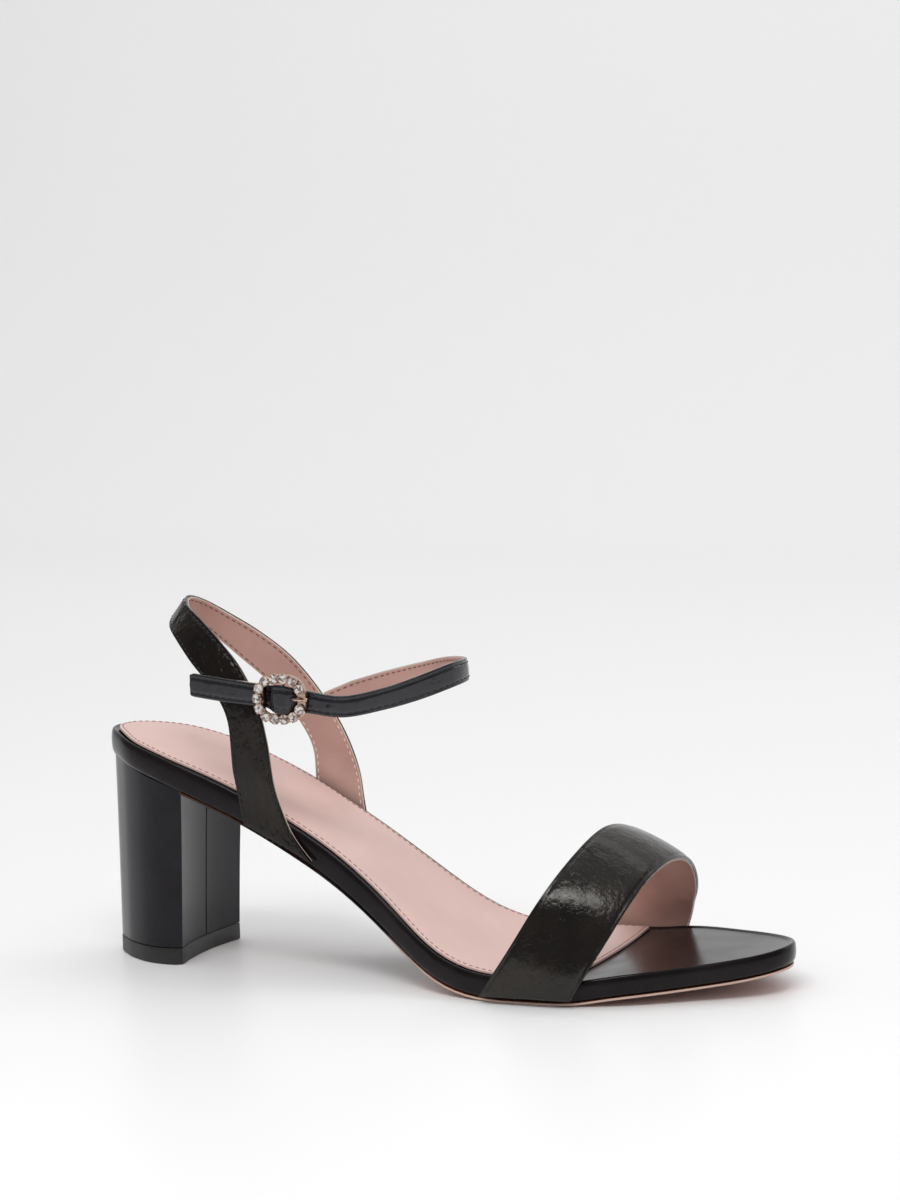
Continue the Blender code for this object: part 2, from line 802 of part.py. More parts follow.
def make_tab(collection, cutters):
    """Leather tab from the heel strap to the bar, looped round it and slotted for the prong."""
    bm = bmesh.new()
    inner = BAR_DIAMETER / 2 + GAP
    flat = BAR_SIDE - TAB_SIDE
    outer_path = []
    inner_path = []
    low = math.asin(max(-1.0, min(1.0, (flat - TAB_THICK / 2) / LOOP_RADIUS)))
    for i in range(17):
        angle = -math.pi + low + (2 * math.pi - 2 * low) * i / 16
        outer_path.append((LOOP_RADIUS * math.cos(angle), LOOP_RADIUS * math.sin(angle)))
        inner_path.append((inner * math.cos(angle), inner * math.sin(angle)))
    strip = [
        (-TAB_LENGTH, flat + TAB_THICK / 2),
        (-TAB_LENGTH, flat - TAB_THICK / 2),
        (-LOOP_RADIUS * 1.6, flat - TAB_THICK / 2),
    ]
    shape = [spot for spot in outer_path if spot[1] < flat - TAB_THICK / 2 or spot[0] > 0]
    outline = strip + shape + [(0.0, flat + TAB_THICK / 2)]
    half = TAB_WIDTH / 2
    rings = []
    for z in (-half, half):
        rings.append([bm.verts.new((x, y, z)) for x, y in outline])
    count = len(outline)
    for i in range(count):
        j = (i + 1) % count
        bm.faces.new((rings[0][i], rings[0][j], rings[1][j], rings[1][i]))
    bm.faces.new(list(reversed(rings[0])))
    bm.faces.new(rings[1])
    outward(bm)
    made = new_object("buckle_tab", bm, collection)
    bore = bmesh.new()
    bmesh.ops.create_cone(
        bore, cap_ends=True, segments=16, radius1=inner, radius2=inner, depth=TAB_WIDTH * 2
    )
    bore_cutter = new_object("tab_bore", bore, cutters)
    slot = bmesh.new()
    bmesh.ops.create_cube(slot, size=1)
    bmesh.ops.scale(
        slot,
        vec=(LOOP_RADIUS * 3.2, LOOP_RADIUS * 3, PRONG_DIAMETER + 2 * GAP),
        verts=slot.verts,
    )
    bmesh.ops.translate(slot, vec=(LOOP_RADIUS * 0.25, 0, 0), verts=slot.verts)
    slot_cutter = new_object("tab_slot", slot, cutters)
    for cutter in (bore_cutter, slot_cutter):
        cutter.location = buckle_origin()
        subtract(made, cutter)
    shade(made, 35)
    return made


def buckle_origin():
    """Middle of the buckle's bar."""
    return Vector((
        place_along(BUCKLE_ALONG),
        -BAR_SIDE,
        BACK_FOOT + BUCKLE_UP * ANKLE_RISE,
    ))


def prong_path():
    """Prong from its eye, through the strap and out over the frame's front limb."""
    front = FRAME_SIDE + FRAME_THICK / 2 + GAP + PRONG_DIAMETER / 2 - BAR_SIDE
    limb = FRAME_LENGTH / 2 - FRAME_BAND
    eye = BAR_DIAMETER / 2 + GAP + PRONG_DIAMETER / 2
    return [
        (eye * 0.9, -eye * 0.45, 0),
        (limb * 0.55, -front * 0.55, 0),
        (limb * 0.95, -front, 0),
        (FRAME_LENGTH / 2 + PRONG_DIAMETER * 0.6, -front, 0),
    ]


def make_prong(collection, cutters):
    """Prong with its eye round the bar, one body."""
    rod = wire("buckle_prong", collection, prong_path(), PRONG_DIAMETER)
    rod.location = buckle_origin()
    middle = BAR_DIAMETER / 2 + GAP + PRONG_DIAMETER / 2
    bpy.ops.mesh.primitive_torus_add(
        major_radius=middle,
        minor_radius=PRONG_DIAMETER / 2 * 0.98,
        major_segments=20,
        minor_segments=8,
        location=buckle_origin(),
    )
    eye = bpy.context.object
    eye.name = "prong_eye"
    for holder in list(eye.users_collection):
        holder.objects.unlink(eye)
    cutters.objects.link(eye)
    eye.hide_render = True
    eye.display_type = "WIRE"
    join = rod.modifiers.new("eye", "BOOLEAN")
    join.operation = "UNION"
    join.solver = "EXACT"
    join.object = eye
    shade(rod, 40)
    return rod


def cut_prong_hole(strap, cutters):
    """Hole in the ankle strap that the prong passes through."""
    path = prong_path()
    start = Vector(path[0])
    end = Vector(path[2])
    run = end - start
    bm = bmesh.new()
    radius = PRONG_DIAMETER / 2 + GAP * 1.6
    bmesh.ops.create_cone(
        bm, cap_ends=True, segments=16, radius1=radius, radius2=radius, depth=run.length
    )
    cutter = new_object("prong_hole", bm, cutters)
    turned = run.to_track_quat("Z", "Y").to_matrix().to_4x4()
    middle = buckle_origin() + (start + end) / 2
    cutter.matrix_world = Matrix.Translation(middle) @ turned
    subtract(strap, cutter)


def stone_places():
    """Centres of the stones round the frame, the front one left out for the prong."""
    length = FRAME_LENGTH - FRAME_BAND
    height = FRAME_HEIGHT - FRAME_BAND
    corner = min(FRAME_CORNER - FRAME_BAND * 0.35, height / 2)
    flat_x = length - 2 * corner
    flat_y = height - 2 * corner
    arc = math.pi / 2 * corner
    total = 2 * flat_x + 2 * flat_y + 4 * arc
    found = []
    for n in range(1, STONE_PLACES):
        run = total * n / STONE_PLACES
        x = length / 2
        y = 0.0
        heading = math.pi / 2
        legs = [
            (flat_y / 2, 0), (arc, 1), (flat_x, 0), (arc, 1), (flat_y, 0),
            (arc, 1), (flat_x, 0), (arc, 1), (flat_y / 2, 0),
        ]
        for leg, bends in legs:
            part = min(run, leg)
            if bends:
                angle = part / corner
                x += corner * (math.sin(heading + angle) - math.sin(heading))
                y -= corner * (math.cos(heading + angle) - math.cos(heading))
                heading += angle
            else:
                x += part * math.cos(heading)
                y += part * math.sin(heading)
            run -= part
            if run <= 0:
                break
        found.append((x, y))
    return found


def make_stones(collection):
    """Round cut stones on the frame's front face, one body each."""
    made = []
    for number, (x, z) in enumerate(stone_places(), 1):
        bm = bmesh.new()
        bmesh.ops.create_cone(
            bm,
            cap_ends=True,
            segments=10,
            radius1=STONE_DIAMETER / 2,
            radius2=STONE_TABLE / 2,
            depth=STONE_HEIGHT,
        )
        stone = new_object(f"buckle_stone_{number:02d}", bm, collection)
        front = FRAME_SIDE + FRAME_THICK / 2 + GAP + STONE_HEIGHT / 2
        centre = buckle_origin()
        stone.location = (centre.x + x, -front, centre.z + z)
        stone.rotation_euler = (math.pi / 2, 0, 0)
        made.append(stone)
    return made


def paint(made, name, colour, roughness, metallic):
    """Own material on a piece."""
    material = bpy.data.materials.get(name)
    if material is None:
        material = bpy.data.materials.new(name)
        material.use_nodes = True
        shader = material.node_tree.nodes["Principled BSDF"]
        shader.inputs["Base Color"].default_value = (*colour, 1)
        shader.inputs["Roughness"].default_value = roughness
        shader.inputs["Metallic"].default_value = metallic
        material.diffuse_color = (*colour, 1)
    made.data.materials.clear()
    made.data.materials.append(material)


def main():
    """Builds the sandal."""
    for old in list(bpy.data.objects):
        bpy.data.objects.remove(old)
    sandal = bpy.data.collections.new("heeled_sandal")
    cutters = bpy.data.collections.new("cutters")
    bpy.context.scene.collection.children.link(sandal)
    bpy.context.scene.collection.children.link(cutters)
    cutters.hide_render = True
    root = bpy.data.objects.new("sandal_origin", None)
    sandal.objects.link(root)

    midsole = make_wrap(sandal)
    insole = make_sock(sandal)
    outsole = make_outsole(sandal)
    heel = make_heel(sandal)
    top_piece = make_top_piece(sandal)
    vamp = make_vamp(sandal)
    heel_strap = back_grid()
    back = make_strap("back_strap", sandal, heel_strap, UPPER_WALL)
    ankle = make_ankle_strap(sandal, heel_strap)
    cut_prong_hole(ankle, cutters)
    frame = make_frame(sandal)
    frame.location = buckle_origin() - Vector((0, FRAME_SIDE - BAR_SIDE, 0))
    bar = make_bar(sandal)
    bar.location = buckle_origin()
    tab = make_tab(sandal, cutters)
    tab.location = buckle_origin()
    tab.rotation_euler = (0, math.radians(TAB_TILT), 0)
    prong = make_prong(sandal, cutters)
    stones = make_stones(sandal)

    paint(midsole, "wrap_leather", (0.018, 0.015, 0.014), 0.28, 0.0)
    paint(insole, "sock_leather", (0.68, 0.49, 0.45), 0.55, 0.0)
    paint(outsole, "sole_leather", (0.42, 0.24, 0.18), 0.6, 0.0)
    paint(heel, "heel_leather", (0.026, 0.024, 0.028), 0.3, 0.0)
    paint(top_piece, "top_piece_rubber", (0.012, 0.012, 0.013), 0.65, 0.0)
    for strap in (vamp, back, ankle, tab):
        paint(strap, strap.name + "_leather", (0.018, 0.012, 0.010), 0.22, 0.0)
    for metal in (frame, bar, prong):
        paint(metal, "buckle_gold", (0.80, 0.58, 0.40), 0.22, 1.0)
    for stone in stones:
        paint(stone, "clear_stone", (0.85, 0.84, 0.82), 0.05, 0.0)
    for piece in [midsole, insole, outsole, heel, top_piece, vamp, back, ankle,
                  frame, bar, tab, prong] + stones:
        piece.parent = root


main()
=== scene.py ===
# A woman's heeled sandal for the right foot, seen from its outer side: black crinkled gloss
# leather straps lined in pink, a padded pink sock on a black covered footbed, a covered block
# heel and a small buckle set with stones. Lengths are in metres.
import math

import bmesh
import bpy
from mathutils import Matrix, Vector
from mathutils.bvhtree import BVHTree


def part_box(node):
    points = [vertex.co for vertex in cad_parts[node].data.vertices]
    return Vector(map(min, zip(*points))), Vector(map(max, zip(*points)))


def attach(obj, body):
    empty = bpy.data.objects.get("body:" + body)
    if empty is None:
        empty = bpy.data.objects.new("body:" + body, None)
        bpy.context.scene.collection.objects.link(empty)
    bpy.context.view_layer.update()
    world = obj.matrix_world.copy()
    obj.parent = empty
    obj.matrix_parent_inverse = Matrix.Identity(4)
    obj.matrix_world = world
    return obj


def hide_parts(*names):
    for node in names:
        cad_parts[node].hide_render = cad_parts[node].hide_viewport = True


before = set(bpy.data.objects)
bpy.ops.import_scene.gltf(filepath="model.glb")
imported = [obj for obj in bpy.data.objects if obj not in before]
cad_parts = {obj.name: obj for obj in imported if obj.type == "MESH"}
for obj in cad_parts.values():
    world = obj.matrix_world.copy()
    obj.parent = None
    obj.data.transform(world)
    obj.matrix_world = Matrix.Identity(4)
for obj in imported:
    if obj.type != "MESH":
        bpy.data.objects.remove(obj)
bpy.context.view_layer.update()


# Studio. The sandal stands on a pale sweep that rises behind it. Soft lights hang over it, beside
# the toe, above the vamp and before the backdrop. The room is darker in reflections, so that the
# black leather stays black.
AIM = Vector((0.1019, 0.0, 0.1154))
CAMERA_DISTANCE = 0.9217
CAMERA_AZIMUTH = math.radians(22.9)
CAMERA_RISE = math.radians(5.65)
CAMERA_ROLL = math.radians(-1.5)
LENS_MM = 89.74
SWEEP_WIDTH = 16.0
SWEEP_NEAR = 7.0
SWEEP_DEPTH = 2.4
SWEEP_HEIGHT = 3.0
SWEEP_ROUND = 1.0
ROOM_LIGHT = 0.66
ROOM_IN_REFLECTIONS = 0.2


def take_only(piece):
    """Leaves one object selected and active."""
    bpy.ops.object.select_all(action="DESELECT")
    piece.select_set(True)
    bpy.context.view_layer.objects.active = piece


def apply_all(piece):
    """Applies every modifier of a piece."""
    take_only(piece)
    for modifier in list(piece.modifiers):
        bpy.ops.object.modifier_apply(modifier=modifier.name)


def new_material(name, colour, roughness, metallic=0.0):
    """Material with a Principled shader, its nodes and its links."""
    material = bpy.data.materials.new(name)
    material.use_nodes = True
    nodes = material.node_tree.nodes
    shader = nodes["Principled BSDF"]
    shader.inputs["Base Color"].default_value = (*colour, 1)
    shader.inputs["Roughness"].default_value = roughness
    shader.inputs["Metallic"].default_value = metallic
    return material, nodes, material.node_tree.links, shader


camera_data = bpy.data.cameras.new("camera")
camera = bpy.data.objects.new("camera", camera_data)
bpy.context.scene.collection.objects.link(camera)
camera_data.lens = LENS_MM
camera_data.sensor_width = 36
camera_data.clip_start = 0.01
camera_data.clip_end = 30
backward = Vector((
    math.sin(CAMERA_AZIMUTH) * math.cos(CAMERA_RISE),
    -math.cos(CAMERA_AZIMUTH) * math.cos(CAMERA_RISE),
    math.sin(CAMERA_RISE),
))
facing = backward.to_track_quat("Z", "Y").to_matrix().to_4x4()
rolled = facing @ Matrix.Rotation(CAMERA_ROLL, 4, "Z")
camera.matrix_world = Matrix.Translation(AIM + backward * CAMERA_DISTANCE) @ rolled
bpy.context.scene.camera = camera

bpy.ops.object.select_all(action="DESELECT")
bpy.ops.mesh.primitive_plane_add(size=1, location=(AIM.x, 0, 0))
sweep = bpy.context.object
sweep.name = "studio_sweep"
bpy.ops.object.mode_set(mode="EDIT")
bpy.ops.transform.resize(value=(SWEEP_WIDTH, SWEEP_NEAR + SWEEP_DEPTH, 1))
bpy.ops.transform.translate(value=(0, (SWEEP_DEPTH - SWEEP_NEAR) / 2, 0))
bpy.ops.mesh.select_all(action="DESELECT")
bpy.ops.object.mode_set(mode="OBJECT")
for edge in sweep.data.edges:
    ends = [sweep.data.vertices[i].co.y for i in edge.vertices]
    edge.select = min(ends) > 0
bpy.ops.object.mode_set(mode="EDIT")
bpy.ops.mesh.select_mode(type="EDGE")
bpy.ops.mesh.extrude_region_move(TRANSFORM_OT_translate={"value": (0, 0, SWEEP_HEIGHT)})
bpy.ops.object.mode_set(mode="OBJECT")
turn = sweep.modifiers.new("round", "BEVEL")
turn.width = SWEEP_ROUND
turn.segments = 24
turn.limit_method = "ANGLE"
apply_all(sweep)
bpy.ops.object.transform_apply(location=True, rotation=True, scale=True)
bpy.ops.object.shade_smooth()
paper, paper_nodes, paper_links, paper_shader = new_material(
    "pale_paper", (0.90, 0.90, 0.90), 0.38
)
paper_shader.inputs["Specular IOR Level"].default_value = 0.2
tooth = paper_nodes.new("ShaderNodeTexNoise")
tooth.inputs["Scale"].default_value = 900
tooth_place = paper_nodes.new("ShaderNodeTexCoord")
tooth_bump = paper_nodes.new("ShaderNodeBump")
tooth_bump.inputs["Strength"].default_value = 0.03
tooth_bump.inputs["Distance"].default_value = 0.0002
paper_links.new(tooth_place.outputs["Object"], tooth.inputs["Vector"])
paper_links.new(tooth.outputs["Fac"], tooth_bump.inputs["Height"])
paper_links.new(tooth_bump.outputs["Normal"], paper_shader.inputs["Normal"])
sweep.data.materials.append(paper)

world = bpy.data.worlds.new("studio")
bpy.context.scene.world = world
world.use_nodes = True
room = world.node_tree.nodes["Background"]
room.inputs["Color"].default_value = (1, 1, 1, 1)
seen = world.node_tree.nodes.new("ShaderNodeLightPath")
room_light = world.node_tree.nodes.new("ShaderNodeMapRange")
room_light.inputs["To Min"].default_value = ROOM_LIGHT
room_light.inputs["To Max"].default_value = ROOM_IN_REFLECTIONS
world.node_tree.links.new(seen.outputs["Is Glossy Ray"], room_light.inputs["Value"])
world.node_tree.links.new(room_light.outputs["Result"], room.inputs["Strength"])
bpy.context.scene.view_settings.view_transform = "Standard"


def softbox(name, place, target, width, height, power):
    """Rectangular white light turned to a target."""
    light = bpy.data.lights.new(name, "AREA")
    light.shape = "RECTANGLE"
    light.size = width
    light.size_y = height
    light.energy = power
    lamp = bpy.data.objects.new(name, light)
    bpy.context.scene.collection.objects.link(lamp)
    lamp.location = place
    lamp.rotation_euler = (Vector(target) - Vector(place)).to_track_quat("-Z", "Y").to_euler()


softbox("overhead", (0.0, 0.5, 1.7), (0.0, 0.4, 0.0), 2.4, 1.8, 5)
softbox("toe_side", (0.9, 0.8, 0.6), (0.12, 0.0, 0.05), 0.25, 0.9, 0.8)
softbox("vamp_highlight", (0.2, -0.58, 0.92), (0.13, -0.02, 0.04), 0.7, 0.24, 4.0)
softbox("backdrop_wash", (-0.5, 1.1, 2.3), (-0.4, 2.4, 0.5), 3.4, 0.8, 13)


# Leather finishes. The black leather is patent with fine crinkles, the pink lining is a smooth
# pigskin with pores. Both groups only give a height and a mask, each material uses its own.
def group_sockets(name, inputs, outputs):
    """Empty node group with number inputs and outputs."""
    group = bpy.data.node_groups.new(name, "ShaderNodeTree")
    for label, value in inputs:
        socket = group.interface.new_socket(label, in_out="INPUT", socket_type="NodeSocketFloat")
        socket.default_value = value
    for label in outputs:
        group.interface.new_socket(label, in_out="OUTPUT", socket_type="NodeSocketFloat")
    return group, group.nodes, group.links


crinkle, cn, cl = group_sockets(
    "crinkled_gloss", [("Cells", 900.0), ("Swell", 2.6)], ["Height", "Worn"]
)
c_in = cn.new("NodeGroupInput")
c_out = cn.new("NodeGroupOutput")
c_place = cn.new("ShaderNodeTexCoord")
c_long = cn.new("ShaderNodeMapping")
c_long.inputs["Rotation"].default_value = (0.0, math.radians(-18), 0.0)
c_long.inputs["Scale"].default_value = (1.3, 1.2, 0.6)
c_swell = cn.new("ShaderNodeTexNoise")
c_swell.inputs["Scale"].default_value = 190
c_swell.inputs["Detail"].default_value = 2
c_sum = cn.new("ShaderNodeMath")
c_sum.operation = "MULTIPLY_ADD"
cl.new(c_in.outputs["Swell"], c_sum.inputs[1])
c_warp = cn.new("ShaderNodeTexNoise")
c_warp.inputs["Scale"].default_value = 420
c_warp.inputs["Detail"].default_value = 4
c_shift = cn.new("ShaderNodeVectorMath")
c_shift.operation = "MULTIPLY_ADD"
c_shift.inputs[1].default_value = (0.0022, 0.0022, 0.0022)
c_cells = cn.new("ShaderNodeTexVoronoi")
c_cells.feature = "DISTANCE_TO_EDGE"
c_fold = cn.new("ShaderNodeTexNoise")
c_fold.inputs["Scale"].default_value = 640
c_fold.inputs["Detail"].default_value = 4
c_fold.inputs["Roughness"].default_value = 0.55
c_fold.inputs["Distortion"].default_value = 0.9
c_ramp = cn.new("ShaderNodeMapRange")
c_ramp.inputs["From Max"].default_value = 0.14
c_mix = cn.new("ShaderNodeMath")
c_mix.operation = "MULTIPLY_ADD"
c_mix.inputs[1].default_value = 0.10
c_blot = cn.new("ShaderNodeTexNoise")
c_blot.inputs["Scale"].default_value = 70
c_blot.inputs["Detail"].default_value = 3
cl.new(c_place.outputs["Object"], c_long.inputs["Vector"])
cl.new(c_place.outputs["Object"], c_warp.inputs["Vector"])
cl.new(c_warp.outputs["Color"], c_shift.inputs[0])
cl.new(c_long.outputs["Vector"], c_shift.inputs[2])
cl.new(c_shift.outputs[0], c_cells.inputs["Vector"])
cl.new(c_in.outputs["Cells"], c_cells.inputs["Scale"])
cl.new(c_long.outputs["Vector"], c_fold.inputs["Vector"])
cl.new(c_place.outputs["Object"], c_blot.inputs["Vector"])
cl.new(c_cells.outputs["Distance"], c_ramp.inputs["Value"])
cl.new(c_ramp.outputs["Result"], c_mix.inputs[0])
cl.new(c_fold.outputs["Fac"], c_mix.inputs[2])
cl.new(c_shift.outputs[0], c_swell.inputs["Vector"])
cl.new(c_swell.outputs["Fac"], c_sum.inputs[0])
cl.new(c_mix.outputs[0], c_sum.inputs[2])
cl.new(c_sum.outputs[0], c_out.inputs["Height"])
cl.new(c_blot.outputs["Fac"], c_out.inputs["Worn"])

pores, pn, pl = group_sockets("fine_pores", [("Pores", 1600.0)], ["Height", "Cloud"])
p_in = pn.new("NodeGroupInput")
p_out = pn.new("NodeGroupOutput")
p_place = pn.new("ShaderNodeTexCoord")
p_cells = pn.new("ShaderNodeTexVoronoi")
p_fine = pn.new("ShaderNodeTexNoise")
p_fine.inputs["Scale"].default_value = 2600
p_fine.inputs["Detail"].default_value = 3
p_cloud = pn.new("ShaderNodeTexNoise")
p_cloud.inputs["Scale"].default_value = 46
p_cloud.inputs["Detail"].default_value = 5
p_add = pn.new("ShaderNodeMath")
p_add.operation = "ADD"
pl.new(p_place.outputs["Object"], p_cells.inputs["Vector"])
pl.new(p_in.outputs["Pores"], p_cells.inputs["Scale"])
pl.new(p_place.outputs["Object"], p_fine.inputs["Vector"])
pl.new(p_place.outputs["Object"], p_cloud.inputs["Vector"])
pl.new(p_cells.outputs["Distance"], p_add.inputs[0])
pl.new(p_fine.outputs["Fac"], p_add.inputs[1])
pl.new(p_add.outputs[0], p_out.inputs["Height"])
pl.new(p_cloud.outputs["Fac"], p_out.inputs["Cloud"])


def blend_colours(nodes, links, mask, first, second, low=0.3, high=0.7):
    """Colour that runs from one tone to another with a mask."""
    ramp = nodes.new("ShaderNodeValToRGB")
    ramp.color_ramp.elements[0].position = low
    ramp.color_ramp.elements[0].color = (*first, 1)
    ramp.color_ramp.elements[1].position = high
    ramp.color_ramp.elements[1].color = (*second, 1)
    links.new(mask, ramp.inputs["Fac"])
    return ramp.outputs["Color"]


def spread_value(nodes, links, mask, low, high):
    """Number that runs between two limits with a mask."""
    spread = nodes.new("ShaderNodeMapRange")
    spread.inputs["From Min"].default_value = 0.3
    spread.inputs["From Max"].default_value = 0.7
    spread.inputs["To Min"].default_value = low
    spread.inputs["To Max"].default_value = high
    links.new(mask, spread.inputs["Value"])
    return spread.outputs["Result"]


def gloss_leather(
    name, dark, light, rough_low, rough_high, cells, depth, coat, gloss, tint, swell=2.6
):
    """Black patent leather with crinkles of a chosen depth and a chosen swell under them."""
    material, nodes, links, shader = new_material(name, dark, rough_low)
    shader.inputs["Specular IOR Level"].default_value = gloss
    shader.inputs["Specular Tint"].default_value = (*tint, 1)
    relief = nodes.new("ShaderNodeGroup")
    relief.node_tree = crinkle
    relief.inputs["Cells"].default_value = cells
    relief.inputs["Swell"].default_value = swell
    bump = nodes.new("ShaderNodeBump")
    bump.inputs["Strength"].default_value = 1.0
    bump.inputs["Distance"].default_value = depth
    tone = blend_colours(nodes, links, relief.outputs["Worn"], dark, light)
    rough = spread_value(nodes, links, relief.outputs["Worn"], rough_low, rough_high)
    links.new(relief.outputs["Height"], bump.inputs["Height"])
    links.new(bump.outputs["Normal"], shader.inputs["Normal"])
    links.new(tone, shader.inputs["Base Color"])
    links.new(rough, shader.inputs["Roughness"])
    shader.inputs["Coat Weight"].default_value = coat
    shader.inputs["Coat Roughness"].default_value = 0.12
    return material


def soft_leather(name, dark, light, rough, pore_count, depth):
    """Smooth pink lining leather with fine pores and a slightly cloudy tone."""
    material, nodes, links, shader = new_material(name, light, rough)
    relief = nodes.new("ShaderNodeGroup")
    relief.node_tree = pores
    relief.inputs["Pores"].default_value = pore_count
    bump = nodes.new("ShaderNodeBump")
    bump.inputs["Strength"].default_value = 0.6
    bump.inputs["Distance"].default_value = depth
    tone = blend_colours(nodes, links, relief.outputs["Cloud"], dark, light)
    roughness = spread_value(nodes, links, relief.outputs["Cloud"], rough - 0.06, rough + 0.06)
    links.new(relief.outputs["Height"], bump.inputs["Height"])
    links.new(bump.outputs["Normal"], shader.inputs["Normal"])
    links.new(tone, shader.inputs["Base Color"])
    links.new(roughness, shader.inputs["Roughness"])
    return material


# Footbed. A moulded board wrapped in smooth black gloss leather, rolled up into a bead along
# its rim. It is left bare in front, where the toes rest.
WRAP_EDGE = 0.00025


def copy_of_node(node, name):
    """Copy of a CAD node's mesh with its corners merged and its triangles paired."""
    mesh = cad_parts[node].data.copy()
    mesh.materials.clear()
    piece = bpy.data.objects.new(name, mesh)
    bpy.context.scene.collection.objects.link(piece)
    take_only(piece)
    bpy.ops.mesh.customdata_custom_splitnormals_clear()
    bpy.ops.object.mode_set(mode="EDIT")
    bpy.ops.mesh.select_all(action="SELECT")
    bpy.ops.mesh.remove_doubles(threshold=0.00001)
    bpy.ops.mesh.tris_convert_to_quads(
        face_threshold=math.radians(35), shape_threshold=math.radians(70)
    )
    bpy.ops.object.mode_set(mode="OBJECT")
    return piece


def round_off(piece, width, angle, levels):
    """Small rounded corners and a smoother surface, both made real."""
    corner = piece.modifiers.new("corner", "BEVEL")
    corner.width = width
    corner.segments = 2
    corner.limit_method = "ANGLE"
    corner.angle_limit = math.radians(angle)
    corner.use_clamp_overlap = True
    if levels:
        smooth = piece.modifiers.new("smooth", "SUBSURF")
        smooth.levels = levels
        smooth.render_levels = levels
    apply_all(piece)
    take_only(piece)
    bpy.ops.object.shade_smooth_by_angle(angle=math.radians(50))


footbed = copy_of_node("midsole", "covered_footbed")
round_off(footbed, WRAP_EDGE, 50, 1)
footbed.data.materials.append(gloss_leather(
    "smooth_black_leather", (0.005, 0.004, 0.004), (0.011, 0.008, 0.008),
    0.16, 0.26, 1400, 0.000003, 0.0, 0.2, (0.97, 0.93, 1.0),
))
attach(footbed, "root")
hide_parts("midsole")


# Sock. A thin pad of pink leather glued on the footbed, stitched all round just inside its
# edge, its front edge cut free under the broad strap.
SOCK_STITCH_INSET = 0.0011
STITCH_LENGTH = 0.0016
STITCH_PITCH = 0.0023
STITCH_THICK = 0.00036
STITCH_LIFT = 0.22
SOCK_TIP_HALF = 0.006
SOCK_MIDDLE = 0.05

sock = copy_of_node("insole", "pink_sock")


def sharp_links(piece, angle):
    """Corner places of a piece and, for each, its neighbours along sharp edges."""
    bm = bmesh.new()
    bm.from_mesh(piece.data)
    places = {v.index: v.co.copy() for v in bm.verts}
    links = {}
    for edge in bm.edges:
        if len(edge.link_faces) == 2 and edge.calc_face_angle() > math.radians(angle):
            a, b = (v.index for v in edge.verts)
            links.setdefault(a, []).append(b)
            links.setdefault(b, []).append(a)
    bm.free()
    return places, links


def rim_loop(piece, angle=50):
    """The highest closed loop of sharp edges, in order."""
    places, links = sharp_links(piece, angle)
    loops = []
    left = set(links)
    while left:
        start = left.pop()
        loop = [start]
        previous = None
        while True:
            onward = [n for n in links[loop[-1]] if n != previous and n in left]
            if not onward:
                break
            previous = loop[-1]
            loop.append(onward[0])
            left.discard(onward[0])
        loops.append([places[i] for i in loop])
    longest = sorted(loops, key=len)[-2:]
    return max(longest, key=lambda loop: sum(p.z for p in loop) / len(loop))


def even_places(line, pitch, closed=False):
    """Places a pitch apart along a line, each with the line's direction there."""
    spots = list(line) + ([line[0]] if closed else [])
    keys = [0.0]
    for a, b in zip(spots, spots[1:]):
        keys.append(keys[-1] + (b - a).length)
    count = max(int(keys[-1] / pitch), 1)
    found = []
    i = 0
    for n in range(count):
        key = keys[-1] * (n + 0.5) / count
        while i < len(keys) - 2 and key > keys[i + 1]:
            i += 1
        span = max(keys[i + 1] - keys[i], 1e-9)
        place = spots[i].lerp(spots[i + 1], (key - keys[i]) / span)
        found.append((place, (spots[i + 1] - spots[i]).normalized()))
    return found


def surface_of(piece):
    """Surface to lay details on."""
    bm = bmesh.new()
    bm.from_mesh(piece.data)
    tree = BVHTree.FromBMesh(bm)
    bm.free()
    return tree


bpy.ops.object.select_all(action="DESELECT")
bpy.ops.mesh.primitive_uv_sphere_add(segments=8, ring_count=6, radius=0.5)
one_stitch = bpy.context.object
one_stitch.name = "one_stitch"
bpy.ops.object.mode_set(mode="EDIT")
bpy.ops.transform.resize(value=(STITCH_LENGTH, STITCH_THICK, STITCH_THICK))
bpy.ops.object.mode_set(mode="OBJECT")


def sew(name, lines, surface, material, pitch, closed=False):
    """Stitches along lines, each laid into the surface beneath it."""
    bm = bmesh.new()
    for line in lines:
        for place, along in even_places(line, pitch, closed):
            spot, normal, _, _ = surface.find_nearest(place)
            side = normal.cross(along).normalized()
            run = side.cross(normal)
            turned = Matrix((run, side, normal)).transposed().to_4x4()
            laid = Matrix.Translation(spot + normal * STITCH_THICK * STITCH_LIFT) @ turned
            before = len(bm.verts)
            bm.from_mesh(one_stitch.data)
            bm.verts.ensure_lookup_table()
            bmesh.ops.transform(bm, matrix=laid, verts=bm.verts[before:])
    mesh = bpy.data.meshes.new(name)
    bm.to_mesh(mesh)
    bm.free()
    row = bpy.data.objects.new(name, mesh)
    bpy.context.scene.collection.objects.link(row)
    take_only(row)
    bpy.ops.object.shade_smooth()
    row.data.materials.append(material)
    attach(row, "root")
    return row


def thread_material(name, dark, light):
    """Waxed thread with a twist."""
    material, nodes, links, shader = new_material(name, light, 0.6)
    place = nodes.new("ShaderNodeTexCoord")
    twist = nodes.new("ShaderNodeTexNoise")
    twist.inputs["Scale"].default_value = 4200
    bump = nodes.new("ShaderNodeBump")
    bump.inputs["Distance"].default_value = 0.00004
    tone = blend_colours(nodes, links, twist.outputs["Fac"], dark, light)
    links.new(place.outputs["Object"], twist.inputs["Vector"])
    links.new(twist.outputs["Fac"], bump.inputs["Height"])
    links.new(bump.outputs["Normal"], shader.inputs["Normal"])
    links.new(tone, shader.inputs["Base Color"])
    return material


